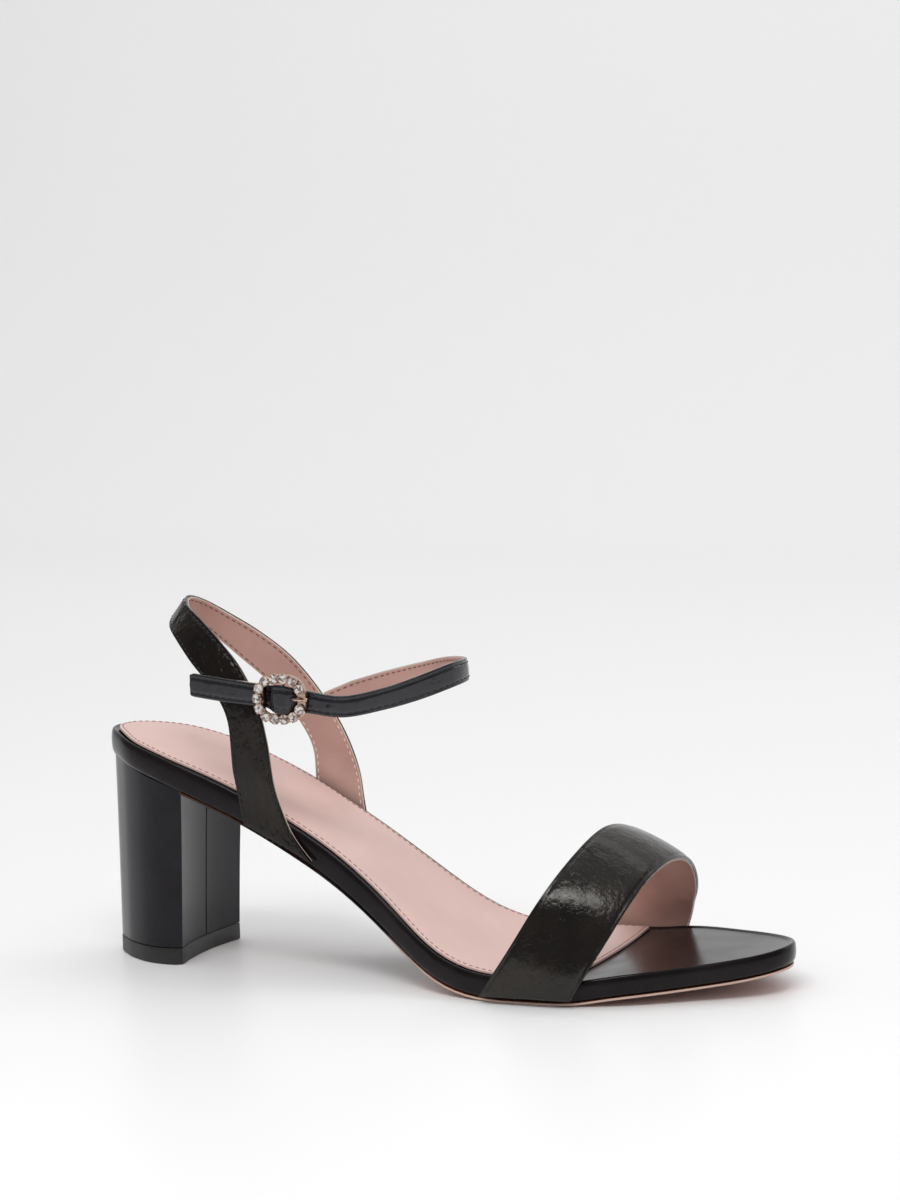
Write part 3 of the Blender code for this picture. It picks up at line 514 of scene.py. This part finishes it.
sock_edge = rim_loop(sock)
sock_line = []
for i, corner in enumerate(sock_edge):
    run = (sock_edge[(i + 1) % len(sock_edge)] - sock_edge[i - 1]).normalized()
    inward = Vector((-run.y, run.x, 0)).normalized()
    ahead = Vector((corner.x, 0, corner.z)) - corner
    if inward.dot(ahead) < 0 and abs(corner.y) > SOCK_TIP_HALF:
        inward = -inward
    if abs(corner.y) <= SOCK_TIP_HALF:
        towards = 1 if corner.x < SOCK_MIDDLE else -1
        inward = Vector((towards, 0, 0))
    sock_line.append(corner + inward * SOCK_STITCH_INSET)
round_off(sock, 0.0003, 50, 1)
sock.data.materials.append(soft_leather(
    "pink_sock_leather", (0.65, 0.45, 0.41), (0.74, 0.52, 0.48), 0.5, 1500, 0.00007
))
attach(sock, "root")
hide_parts("insole")
rose_thread = thread_material("rose_thread", (0.26, 0.13, 0.11), (0.50, 0.32, 0.28))
sock_sewing = sew(
    "sock_stitches", [sock_line], surface_of(sock), rose_thread, STITCH_PITCH, closed=True
)


# Outsole. A thin moulded sole glued under the footbed, reddish brown beneath with fine ribs.
# Its edge is black through the waist and beige round the forefoot.
BEIGE_EDGE_FROM = 0.088
BEIGE_EDGE_FULL = 0.104

outsole = copy_of_node("outsole", "thin_outsole")
round_off(outsole, 0.0002, 50, 1)
rubber, rn, rl, rubber_shader = new_material("brown_outsole", (0.20, 0.09, 0.06), 0.6)
r_place = rn.new("ShaderNodeTexCoord")
r_split = rn.new("ShaderNodeSeparateXYZ")
r_side = rn.new("ShaderNodeMath")
r_side.operation = "ABSOLUTE"
r_normal = rn.new("ShaderNodeNewGeometry")
r_normal_split = rn.new("ShaderNodeSeparateXYZ")
r_ribs = rn.new("ShaderNodeTexWave")
r_ribs.inputs["Scale"].default_value = 160
r_ribs.inputs["Distortion"].default_value = 0.4
r_bump = rn.new("ShaderNodeBump")
r_bump.inputs["Distance"].default_value = 0.0002
r_bump.inputs["Strength"].default_value = 0.5
rl.new(r_place.outputs["Object"], r_split.inputs[0])
rl.new(r_place.outputs["Object"], r_ribs.inputs["Vector"])
rl.new(r_normal.outputs["Normal"], r_normal_split.inputs[0])
rl.new(r_normal_split.outputs["Z"], r_side.inputs[0])
r_forepart = rn.new("ShaderNodeMapRange")
r_forepart.inputs["From Min"].default_value = BEIGE_EDGE_FROM
r_forepart.inputs["From Max"].default_value = BEIGE_EDGE_FULL
r_edge = rn.new("ShaderNodeMix")
r_edge.data_type = "RGBA"
r_edge.inputs["A"].default_value = (0.014, 0.011, 0.011, 1)
r_edge.inputs["B"].default_value = (0.60, 0.42, 0.35, 1)
r_tone = rn.new("ShaderNodeMix")
r_tone.data_type = "RGBA"
r_under = rn.new("ShaderNodeMapRange")
r_under.inputs["From Min"].default_value = 0.82
r_under.inputs["From Max"].default_value = 0.96
r_cloud = rn.new("ShaderNodeTexNoise")
r_cloud.inputs["Scale"].default_value = 90
rl.new(r_place.outputs["Object"], r_cloud.inputs["Vector"])
rl.new(r_split.outputs["X"], r_forepart.inputs["Value"])
rl.new(r_forepart.outputs["Result"], r_edge.inputs["Factor"])
rl.new(r_side.outputs[0], r_under.inputs["Value"])
rl.new(r_under.outputs["Result"], r_tone.inputs["Factor"])
rl.new(r_edge.outputs["Result"], r_tone.inputs["A"])
rl.new(blend_colours(
    rn, rl, r_cloud.outputs["Fac"], (0.32, 0.105, 0.062), (0.42, 0.150, 0.092)
), r_tone.inputs["B"])
rl.new(r_tone.outputs["Result"], rubber_shader.inputs["Base Color"])
rl.new(r_ribs.outputs["Fac"], r_bump.inputs["Height"])
rl.new(r_bump.outputs["Normal"], rubber_shader.inputs["Normal"])
outsole.data.materials.append(rubber)
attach(outsole, "root")
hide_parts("outsole")


# Heel. A moulded block covered in the same smooth black leather, the cover joined by a seam
# down the middle of its breast, on a harder black top piece.
HEEL_EDGE = 0.0005
SEAM_HALF = 0.0005
SEAM_DEPTH = 0.0008
BREAST_FROM = 0.010

heel = copy_of_node("heel", "covered_heel")
round_off(heel, HEEL_EDGE, 40, 1)
cover = gloss_leather(
    "heel_cover_leather", (0.006, 0.005, 0.007), (0.012, 0.011, 0.014),
    0.12, 0.20, 1300, 0.000004, 0.05, 0.2, (0.95, 0.92, 1.0),
)
hn = cover.node_tree.nodes
hl = cover.node_tree.links
h_place = hn.new("ShaderNodeTexCoord")
h_split = hn.new("ShaderNodeSeparateXYZ")
h_away = hn.new("ShaderNodeMath")
h_away.operation = "ABSOLUTE"
h_front = hn.new("ShaderNodeMath")
h_front.operation = "GREATER_THAN"
h_front.inputs[1].default_value = BREAST_FROM
h_seam = hn.new("ShaderNodeMapRange")
h_seam.inputs["From Min"].default_value = 0.0
h_seam.inputs["From Max"].default_value = SEAM_HALF
h_seam.inputs["To Min"].default_value = 1.0
h_seam.inputs["To Max"].default_value = 0.0
h_only = hn.new("ShaderNodeMath")
h_only.operation = "MULTIPLY"
h_bump = hn.new("ShaderNodeBump")
h_bump.invert = True
h_bump.inputs["Distance"].default_value = SEAM_DEPTH
hl.new(h_place.outputs["Object"], h_split.inputs[0])
hl.new(h_split.outputs["Y"], h_away.inputs[0])
hl.new(h_split.outputs["X"], h_front.inputs[0])
hl.new(h_away.outputs[0], h_seam.inputs["Value"])
hl.new(h_seam.outputs["Result"], h_only.inputs[0])
hl.new(h_front.outputs[0], h_only.inputs[1])
hl.new(h_only.outputs[0], h_bump.inputs["Height"])
grain_bump = next(node for node in hn if node.type == "BUMP" and node != h_bump)
hl.new(grain_bump.outputs["Normal"], h_bump.inputs["Normal"])
hl.new(h_bump.outputs["Normal"], hn["Principled BSDF"].inputs["Normal"])
h_tone = hn["Principled BSDF"].inputs["Base Color"].links[0].from_socket
h_dark = hn.new("ShaderNodeMix")
h_dark.data_type = "RGBA"
h_dark.inputs["B"].default_value = (0.002, 0.002, 0.002, 1)
h_rough = hn["Principled BSDF"].inputs["Roughness"].links[0].from_socket
h_dull = hn.new("ShaderNodeMath")
h_dull.operation = "ADD"
hl.new(h_only.outputs[0], h_dark.inputs["Factor"])
hl.new(h_tone, h_dark.inputs["A"])
hl.new(h_dark.outputs["Result"], hn["Principled BSDF"].inputs["Base Color"])
hl.new(h_only.outputs[0], h_dull.inputs[0])
hl.new(h_rough, h_dull.inputs[1])
hl.new(h_dull.outputs[0], hn["Principled BSDF"].inputs["Roughness"])
heel.data.materials.append(cover)
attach(heel, "root")
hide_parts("heel")

top_piece = copy_of_node("heel_top_piece", "heel_top_piece_worn")
round_off(top_piece, 0.0003, 40, 0)
top_rubber, tn, tl, top_shader = new_material("black_top_piece", (0.016, 0.015, 0.015), 0.5)
t_place = tn.new("ShaderNodeTexCoord")
t_grain = tn.new("ShaderNodeTexNoise")
t_grain.inputs["Scale"].default_value = 1400
t_grain.inputs["Detail"].default_value = 5
t_bump = tn.new("ShaderNodeBump")
t_bump.inputs["Distance"].default_value = 0.00006
tl.new(t_place.outputs["Object"], t_grain.inputs["Vector"])
tl.new(t_grain.outputs["Fac"], t_bump.inputs["Height"])
tl.new(t_bump.outputs["Normal"], top_shader.inputs["Normal"])
tl.new(blend_colours(
    tn, tl, t_grain.outputs["Fac"], (0.010, 0.009, 0.009), (0.024, 0.022, 0.022)
), top_shader.inputs["Base Color"])
tl.new(spread_value(tn, tl, t_grain.outputs["Fac"], 0.35, 0.55), top_shader.inputs["Roughness"])
top_piece.data.materials.append(top_rubber)
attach(top_piece, "root")
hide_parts("heel_top_piece")


# Straps. Each is a strip of crinkled black leather bonded to a pink lining. The black is
# folded round its edges and the lining's cut edge shows as a thin cream line beside the fold.
# Both step tables give the way in from the edge in millimetres and the level in the wall.
FOLD_STEPS = [
    (0.90, 1.00), (0.38, 1.00), (0.14, 0.93), (0.00, 0.72), (0.01, 0.42), (0.05, 0.30),
]
LINING_STEPS = [
    (0.16, 0.27), (0.11, 0.22), (0.09, 0.10), (0.14, 0.01), (0.24, 0.00),
]
MILLIMETRE = 0.001
SEWN_IN = 0.0013
SINK = 0.00012
PROBE = 0.0006
WINDOW_HALF = 0.0058
STRAP_FILL = 0.14


def in_step(line, count):
    """The same line through a chosen number of evenly spaced places, ends kept."""
    keys = [0.0]
    for a, b in zip(line, line[1:]):
        keys.append(keys[-1] + (b - a).length)
    found = []
    i = 0
    for n in range(count + 1):
        key = keys[-1] * n / count
        while i < len(keys) - 2 and key > keys[i + 1]:
            i += 1
        share = (key - keys[i]) / (keys[i + 1] - keys[i])
        found.append(line[i].lerp(line[i + 1], share))
    return found


def strap_rails(piece):
    """The four long edges of a strap in step: outer one and other, inner one and other."""
    places, links = sharp_links(piece, 40)
    corners = [i for i in links if len(links[i]) == 3]
    rails = []
    for corner in corners:
        for onward in links[corner]:
            rail = [corner, onward]
            while len(links[rail[-1]]) == 2:
                a, b = links[rail[-1]]
                rail.append(b if a == rail[-2] else a)
            if len(rail) > 20 and rail[0] < rail[-1]:
                rails.append([places[i] for i in rail])
    steps = max(len(rail) for rail in rails)
    rails = [in_step(rail, steps) for rail in rails]
    first = rails[0]
    for rail in rails[1:]:
        if (rail[0] - first[0]).length > (rail[-1] - first[0]).length:
            rail.reverse()
    centre = sum((p for rail in rails for p in rail), Vector()) / sum(len(r) for r in rails)
    half = len(first) // 2
    partner = min(rails[1:], key=lambda rail: (rail[half] - first[half]).length)
    others = [rail for rail in rails[1:] if rail is not partner]

    def reach(rail):
        return sum((p - centre).length for p in rail)

    one = sorted((first, partner), key=reach, reverse=True)
    other = sorted(others, key=reach, reverse=True)
    return one[0], other[0], one[1], other[1]


def lay_strap(name, node, columns, pillow):
    """Strap rebuilt over the CAD one with folded edges and a sunk line where it is sewn."""
    rough = copy_of_node(node, name + "_guide")
    outer_a, outer_b, inner_a, inner_b = strap_rails(rough)
    skin = surface_of(rough)
    bm = bmesh.new()
    rings = []
    for i in range(len(outer_a)):
        width = (outer_b[i] - outer_a[i]).length
        edge = [
            (inset * MILLIMETRE / width, depth) for inset, depth in FOLD_STEPS + LINING_STEPS
        ]
        seam = SEWN_IN / width
        crown = [seam, seam * 1.5] + [
            seam * 1.8 + (1 - seam * 3.6) * k / columns for k in range(columns + 1)
        ] + [1 - seam * 1.5, 1 - seam]
        shape = [(s, 1.0, "sewn" if s in (seam, 1 - seam) else "face") for s in crown]
        shape += [(1 - s, d, "edge") for s, d in edge]
        shape += [(1 - s, 0.0, "lining") for s in crown]
        shape += [(s, d, "edge") for s, d in reversed(edge)]
        out = (outer_a[i] - inner_a[i] + outer_b[i] - inner_b[i]).normalized()
        ring = []
        for share, depth, kind in shape:
            low = inner_a[i].lerp(inner_b[i], share)
            high = outer_a[i].lerp(outer_b[i], share)
            if kind in ("sewn", "face"):
                near = skin.find_nearest(high + out * PROBE)[0]
                lift = -SINK if kind == "sewn" else pillow * (1 - (2 * share - 1) ** 4)
                spot = near + out * lift
            elif kind == "lining":
                spot = skin.find_nearest(low - out * PROBE)[0]
            else:
                spot = low.lerp(high, depth)
            ring.append(bm.verts.new(spot))
        rings.append(ring)
    count = len(rings[0])
    lining_from = len(crown) + len(FOLD_STEPS)
    inner_from = lining_from + len(LINING_STEPS)
    inner_to = inner_from + len(crown)
    lining_to = inner_to + len(LINING_STEPS)
    for ring, following in zip(rings, rings[1:]):
        for k in range(count):
            j = (k + 1) % count
            face = bm.faces.new((ring[k], ring[j], following[j], following[k]))
            if lining_from <= k < inner_from - 1 or inner_to <= k < lining_to - 1:
                face.material_index = 1
            elif inner_from - 1 <= k < inner_to:
                face.material_index = 2
    for ring, turned in ((rings[0], True), (rings[-1], False)):
        cap = bm.faces.new(list(reversed(ring)) if turned else ring)
        cap.material_index = 0
        bmesh.ops.triangulate(bm, faces=[cap])
    bmesh.ops.recalc_face_normals(bm, faces=bm.faces)
    mesh = bpy.data.meshes.new(name)
    bm.to_mesh(mesh)
    bm.free()
    bpy.data.objects.remove(rough)
    strap = bpy.data.objects.new(name, mesh)
    bpy.context.scene.collection.objects.link(strap)
    smooth = strap.modifiers.new("smooth", "SUBSURF")
    smooth.levels = 1
    smooth.render_levels = 1
    apply_all(strap)
    bpy.ops.object.shade_smooth()
    return strap, (outer_a, outer_b, inner_a, inner_b)


def sewing_line(first, second, inset):
    """Line a small way in from one long edge towards the other, clear of the strap's ends."""
    line = [a + (b - a).normalized() * inset for a, b in zip(first, second)]
    return line[1:-1]


vamp_leather = gloss_leather(
    "crinkled_vamp_leather", (0.003, 0.002, 0.002), (0.010, 0.007, 0.005),
    0.17, 0.28, 700, 0.00015, 0.18, 0.42, (1.0, 0.95, 0.88), 3.0,
)
strap_leather = gloss_leather(
    "creased_strap_leather", (0.003, 0.002, 0.002), (0.010, 0.007, 0.005),
    0.08, 0.18, 500, 0.00010, 0.10, 0.28, (1.0, 0.95, 0.90), 9.0,
)
# The ankle strap's leather is a lighter, bluer copy of the strap leather with a stronger bluish
# reflection: a painted highlight.
ankle_highlit_leather = gloss_leather(
    "ankle_leather_painted_highlight", (0.004, 0.003, 0.004), (0.012, 0.010, 0.012),
    0.14, 0.26, 500, 0.00007, 0.25, 0.6, (0.88, 0.90, 1.0), 7.0,
)
cut_edge = soft_leather(
    "cream_cut_edge", (0.52, 0.39, 0.32), (0.70, 0.57, 0.49), 0.7, 2200, 0.00005
)
# The straps' lining is darker than the sock's pink: the lining's own pink with painted shade for
# the inside of the straps.
shaded_strap_lining = soft_leather(
    "pink_strap_lining_painted_shade", (0.44, 0.26, 0.22), (0.55, 0.34, 0.29), 0.48, 1500, 0.00006
)
black_thread = thread_material("black_thread", (0.008, 0.007, 0.007), (0.03, 0.027, 0.026))
pale_thread = thread_material("pale_thread", (0.74, 0.62, 0.54), (0.92, 0.84, 0.76))
brown_thread = thread_material("brown_thread", (0.10, 0.05, 0.04), (0.22, 0.12, 0.10))

vamp, _ = lay_strap("broad_vamp_strap", "vamp_strap", 16, 0.0002)
heel_strap, heel_rails = lay_strap("heel_strap", "back_strap", 8, 0.00015)
ankle, ankle_rails = lay_strap("ankle_strap_lined", "ankle_strap", 6, 0.00015)
bar_low, bar_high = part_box("buckle_bar")
bar_middle = (Vector(bar_low) + Vector(bar_high)) / 2
for corner in ankle.data.vertices:
    away = abs(corner.co.x - bar_middle.x) / WINDOW_HALF
    if corner.co.y < 0 and away < 1:
        rise = corner.co.z - bar_middle.z
        corner.co.z += rise * STRAP_FILL * (1 - away**2) ** 2
for strap, node, leather in (
    (vamp, "vamp_strap", vamp_leather),
    (heel_strap, "back_strap", strap_leather),
    (ankle, "ankle_strap", ankle_highlit_leather),
):
    strap.data.materials.append(leather)
    strap.data.materials.append(cut_edge)
    strap.data.materials.append(shaded_strap_lining)
    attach(strap, "root")
    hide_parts(node)

STEM_TOP = 0.080


def part_of_line(line, wanted):
    """The stretches of a line whose places pass a test."""
    stretches = [[]]
    for place in line:
        if wanted(place):
            stretches[-1].append(place)
        elif stretches[-1]:
            stretches.append([])
    return [stretch for stretch in stretches if len(stretch) > 1]


def on_stem(place):
    """True on the lower legs of the heel strap."""
    return place.z < STEM_TOP


for strap, rails, label in (
    (heel_strap, heel_rails, "heel_strap"),
    (ankle, ankle_rails, "ankle_strap"),
):
    surface = surface_of(strap)
    outer_a, outer_b, inner_a, inner_b = rails
    outside = [
        sewing_line(outer_a, outer_b, SEWN_IN),
        sewing_line(outer_b, outer_a, SEWN_IN),
    ]
    inside = [
        sewing_line(inner_a, inner_b, SEWN_IN),
        sewing_line(inner_b, inner_a, SEWN_IN),
    ]
    upper = [part for line in inside for part in part_of_line(line, lambda p: not on_stem(p))]
    rows = [
        sew(label + "_outer_stitches", outside, surface, black_thread, STITCH_PITCH),
        sew(label + "_lining_stitches", upper, surface, brown_thread, STITCH_PITCH),
    ]
    if strap is heel_strap:
        lower = [part for line in inside for part in part_of_line(line, on_stem)]
        rows.append(sew("stem_stitches", lower, surface, pale_thread, STITCH_PITCH))


# Adjusting hole. A small hole punched in the ankle strap ahead of the buckle, its rim pressed
# up a little by the punch. It is a shallow dish on the strap, not an opening: its floor is
# painted near-black as the shade inside the hole.
HOLE_RADIUS = 0.0007
HOLE_RIM = 0.0002
HOLE_AHEAD = 0.0144
HOLE_DISC = 0.0002
HOLE_SUNK = 0.00008
HOLE_PROUD = 0.00002


def pick_faces(piece, wanted):
    """Edit mode with only the wanted faces of a piece selected."""
    bpy.ops.object.mode_set(mode="EDIT")
    bpy.ops.mesh.select_mode(type="FACE")
    bpy.ops.mesh.select_all(action="DESELECT")
    bpy.ops.object.mode_set(mode="OBJECT")
    for face in piece.data.polygons:
        face.select = wanted(face)
    bpy.ops.object.mode_set(mode="EDIT")


hole_x = bar_middle.x + HOLE_AHEAD
strap_middles = [(a + b) / 2 for a, b in zip(ankle_rails[0], ankle_rails[1])]
hole_spot = min((p for p in strap_middles if p.y < 0), key=lambda p: abs(p.x - hole_x))
hole_spot, hole_normal, _, _ = surface_of(ankle).find_nearest(hole_spot)
bpy.ops.object.select_all(action="DESELECT")
bpy.ops.mesh.primitive_cylinder_add(vertices=24, radius=HOLE_RADIUS, depth=HOLE_DISC)
hole = bpy.context.object
hole.name = "adjusting_hole"
pick_faces(hole, lambda face: face.normal.z > 0.9)
bpy.ops.mesh.inset(thickness=HOLE_RIM)
bpy.ops.mesh.extrude_region_move(TRANSFORM_OT_translate={"value": (0, 0, -HOLE_SUNK)})
bpy.ops.object.mode_set(mode="OBJECT")
hole.data.transform(
    Matrix.Translation(hole_spot + hole_normal * HOLE_PROUD)
    @ hole_normal.to_track_quat("Z", "Y").to_matrix().to_4x4()
)
# Painted shade: near-black with a little noise, standing for the darkness inside the hole.
hole_shade_paint, on, ol, hole_shader = new_material("painted_hole_shade", (0.003, 0.003, 0.003), 0.9)
o_place = on.new("ShaderNodeTexCoord")
o_shade_noise = on.new("ShaderNodeTexNoise")
o_shade_noise.inputs["Scale"].default_value = 5000
ol.new(o_place.outputs["Object"], o_shade_noise.inputs["Vector"])
ol.new(blend_colours(
    on, ol, o_shade_noise.outputs["Fac"], (0.002, 0.002, 0.002), (0.012, 0.008, 0.006)
), hole_shader.inputs["Base Color"])
hole.data.materials.append(ankle_highlit_leather)
hole.data.materials.append(hole_shade_paint)
for face in hole.data.polygons:
    middle_radius = (face.center - hole_spot).length
    if middle_radius < HOLE_RADIUS * 0.3:
        face.material_index = 1
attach(hole, "root")


# Buckle. A cast frame in rose gilt with a ring of round cut stones, each in a small cup held
# by four claws. The tab and the bar lie behind it, and the prong's tip rests on its front limb.
CUP_WALL = 0.00014
CLAW = 0.00030
STONE_HEIGHT = 0.0014
STONE_SPREAD = 1.09
BAND_INSET = 0.0004

gilt, gn, gl, gilt_shader = new_material("rose_gilt", (0.58, 0.42, 0.33), 0.24, 1.0)
g_place = gn.new("ShaderNodeTexCoord")
g_cast = gn.new("ShaderNodeTexNoise")
g_cast.inputs["Scale"].default_value = 1300
g_cast.inputs["Detail"].default_value = 4
g_bump = gn.new("ShaderNodeBump")
g_bump.inputs["Distance"].default_value = 0.00003
gl.new(g_place.outputs["Object"], g_cast.inputs["Vector"])
gl.new(g_cast.outputs["Fac"], g_bump.inputs["Height"])
gl.new(g_bump.outputs["Normal"], gilt_shader.inputs["Normal"])
gl.new(blend_colours(
    gn, gl, g_cast.outputs["Fac"], (0.42, 0.28, 0.21), (0.72, 0.54, 0.43)
), gilt_shader.inputs["Base Color"])
gl.new(spread_value(gn, gl, g_cast.outputs["Fac"], 0.16, 0.34), gilt_shader.inputs["Roughness"])

for node, name, width, levels in (
    ("buckle_frame", "buckle_ring", 0.0003, 0),
    ("buckle_bar", "buckle_centre_bar", 0.0001, 1),
    ("buckle_prong", "buckle_tongue", 0.0001, 0),
):
    metal = copy_of_node(node, name)
    if node == "buckle_frame":
        middle = sum((corner.co for corner in metal.data.vertices), Vector())
        middle /= len(metal.data.vertices)
        for corner in metal.data.vertices:
            sideways = Vector((corner.normal.x, 0, corner.normal.z)).normalized()
            if sideways.dot(corner.co - middle) > 0:
                corner.co -= sideways * BAND_INSET
    round_off(metal, width, 40, levels)
    metal.data.materials.append(gilt)
    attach(metal, "root")
    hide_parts(node)

tab = copy_of_node("buckle_tab", "buckle_leather_tab")
round_off(tab, 0.00015, 40, 0)
tab.data.materials.append(strap_leather)
tab.data.materials.append(cut_edge)
for face in tab.data.polygons:
    if abs(face.normal.z) > 0.9:
        face.material_index = 1
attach(tab, "root")
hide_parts("buckle_tab")

crystal, xn, xl, crystal_shader = new_material("cut_crystal", (0.80, 0.72, 0.70), 0.04)
crystal_shader.inputs["IOR"].default_value = 1.9
crystal_shader.inputs["Transmission Weight"].default_value = 0.2
# Painted glints: the stones' colour runs from dark to light in small random cells, standing for
# the glints and dark reflections of cut facets.
x_place = xn.new("ShaderNodeTexCoord")
x_glint_cells = xn.new("ShaderNodeTexVoronoi")
x_glint_cells.inputs["Scale"].default_value = 1500
x_glint = xn.new("ShaderNodeSeparateColor")
xl.new(x_place.outputs["Object"], x_glint_cells.inputs["Vector"])
xl.new(x_glint_cells.outputs["Color"], x_glint.inputs[0])
xl.new(blend_colours(
    xn, xl, x_glint.outputs[0], (0.16, 0.10, 0.09), (0.86, 0.80, 0.78), 0.25, 0.75
), crystal_shader.inputs["Base Color"])

low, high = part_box("buckle_stone_01")
stone_width = (high[2] - low[2]) * STONE_SPREAD
bpy.ops.object.select_all(action="DESELECT")
bpy.ops.mesh.primitive_cylinder_add(
    vertices=12, radius=stone_width / 2 - CUP_WALL, depth=STONE_HEIGHT * 0.25
)
one_stone = bpy.context.object
one_stone.name = "one_stone"
pick_faces(one_stone, lambda face: face.normal.z > 0.9)
bpy.ops.mesh.extrude_region_move(
    TRANSFORM_OT_translate={"value": (0, 0, STONE_HEIGHT * 0.16)}
)
bpy.ops.transform.resize(value=(0.9, 0.9, 1))
bpy.ops.transform.rotate(value=math.radians(15), orient_axis="Z", center_override=(0, 0, 0))
bpy.ops.mesh.extrude_region_move(
    TRANSFORM_OT_translate={"value": (0, 0, STONE_HEIGHT * 0.14)}
)
bpy.ops.transform.resize(value=(0.66, 0.66, 1))
pick_faces(one_stone, lambda face: face.normal.z < -0.9)
bpy.ops.mesh.extrude_region_move(
    TRANSFORM_OT_translate={"value": (0, 0, -STONE_HEIGHT * 0.45)}
)
bpy.ops.transform.resize(value=(0.25, 0.25, 1))
bpy.ops.object.mode_set(mode="OBJECT")

bpy.ops.object.select_all(action="DESELECT")
bpy.ops.mesh.primitive_cylinder_add(
    vertices=20, radius=stone_width / 2, depth=STONE_HEIGHT * 0.62
)
one_cup = bpy.context.object
one_cup.name = "one_cup"
pick_faces(one_cup, lambda face: face.normal.z > 0.9)
bpy.ops.mesh.inset(thickness=CUP_WALL)
bpy.ops.mesh.extrude_region_move(
    TRANSFORM_OT_translate={"value": (0, 0, -STONE_HEIGHT * 0.5)}
)
bpy.ops.object.mode_set(mode="OBJECT")
for k in range(4):
    angle = math.radians(45 + 90 * k)
    reach = stone_width / 2 - CUP_WALL * 0.6
    bpy.ops.object.select_all(action="DESELECT")
    bpy.ops.mesh.primitive_uv_sphere_add(
        segments=10, ring_count=8, radius=CLAW,
        location=(reach * math.cos(angle), reach * math.sin(angle), STONE_HEIGHT * 0.34),
    )
    one_cup.select_set(True)
    bpy.context.view_layer.objects.active = one_cup
    bpy.ops.object.join()
take_only(one_cup)
bpy.ops.object.shade_smooth_by_angle(angle=math.radians(40))

stone_nodes = sorted(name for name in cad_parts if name.startswith("buckle_stone_"))
ring_low, ring_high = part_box("buckle_frame")
ring_middle = (Vector(ring_low) + Vector(ring_high)) / 2
for number, node in enumerate(stone_nodes, 1):
    low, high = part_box(node)
    centre = (Vector(low) + Vector(high)) / 2
    outward = math.atan2(centre.z - ring_middle.z, centre.x - ring_middle.x)
    facing_out = Matrix.Rotation(math.pi / 2, 4, "X") @ Matrix.Rotation(outward, 4, "Z")
    place = Matrix.Translation(centre) @ facing_out
    for template, name, material, slot_name in (
        (one_stone, "cut_stone", crystal, "stones"),
        (one_cup, "stone_cup", gilt, "buckle_metal"),
    ):
        mesh = template.data.copy()
        lift = Matrix.Translation((0, 0, STONE_HEIGHT * (0.1 if template is one_stone else -0.19)))
        mesh.transform(place @ lift)
        piece = bpy.data.objects.new(f"{name}_{number:02d}", mesh)
        bpy.context.scene.collection.objects.link(piece)
        piece.data.materials.append(material)
        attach(piece, "root")
        if template is one_stone:
            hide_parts(node)
for template in (one_stone, one_cup, one_stitch):
    bpy.data.objects.remove(template)
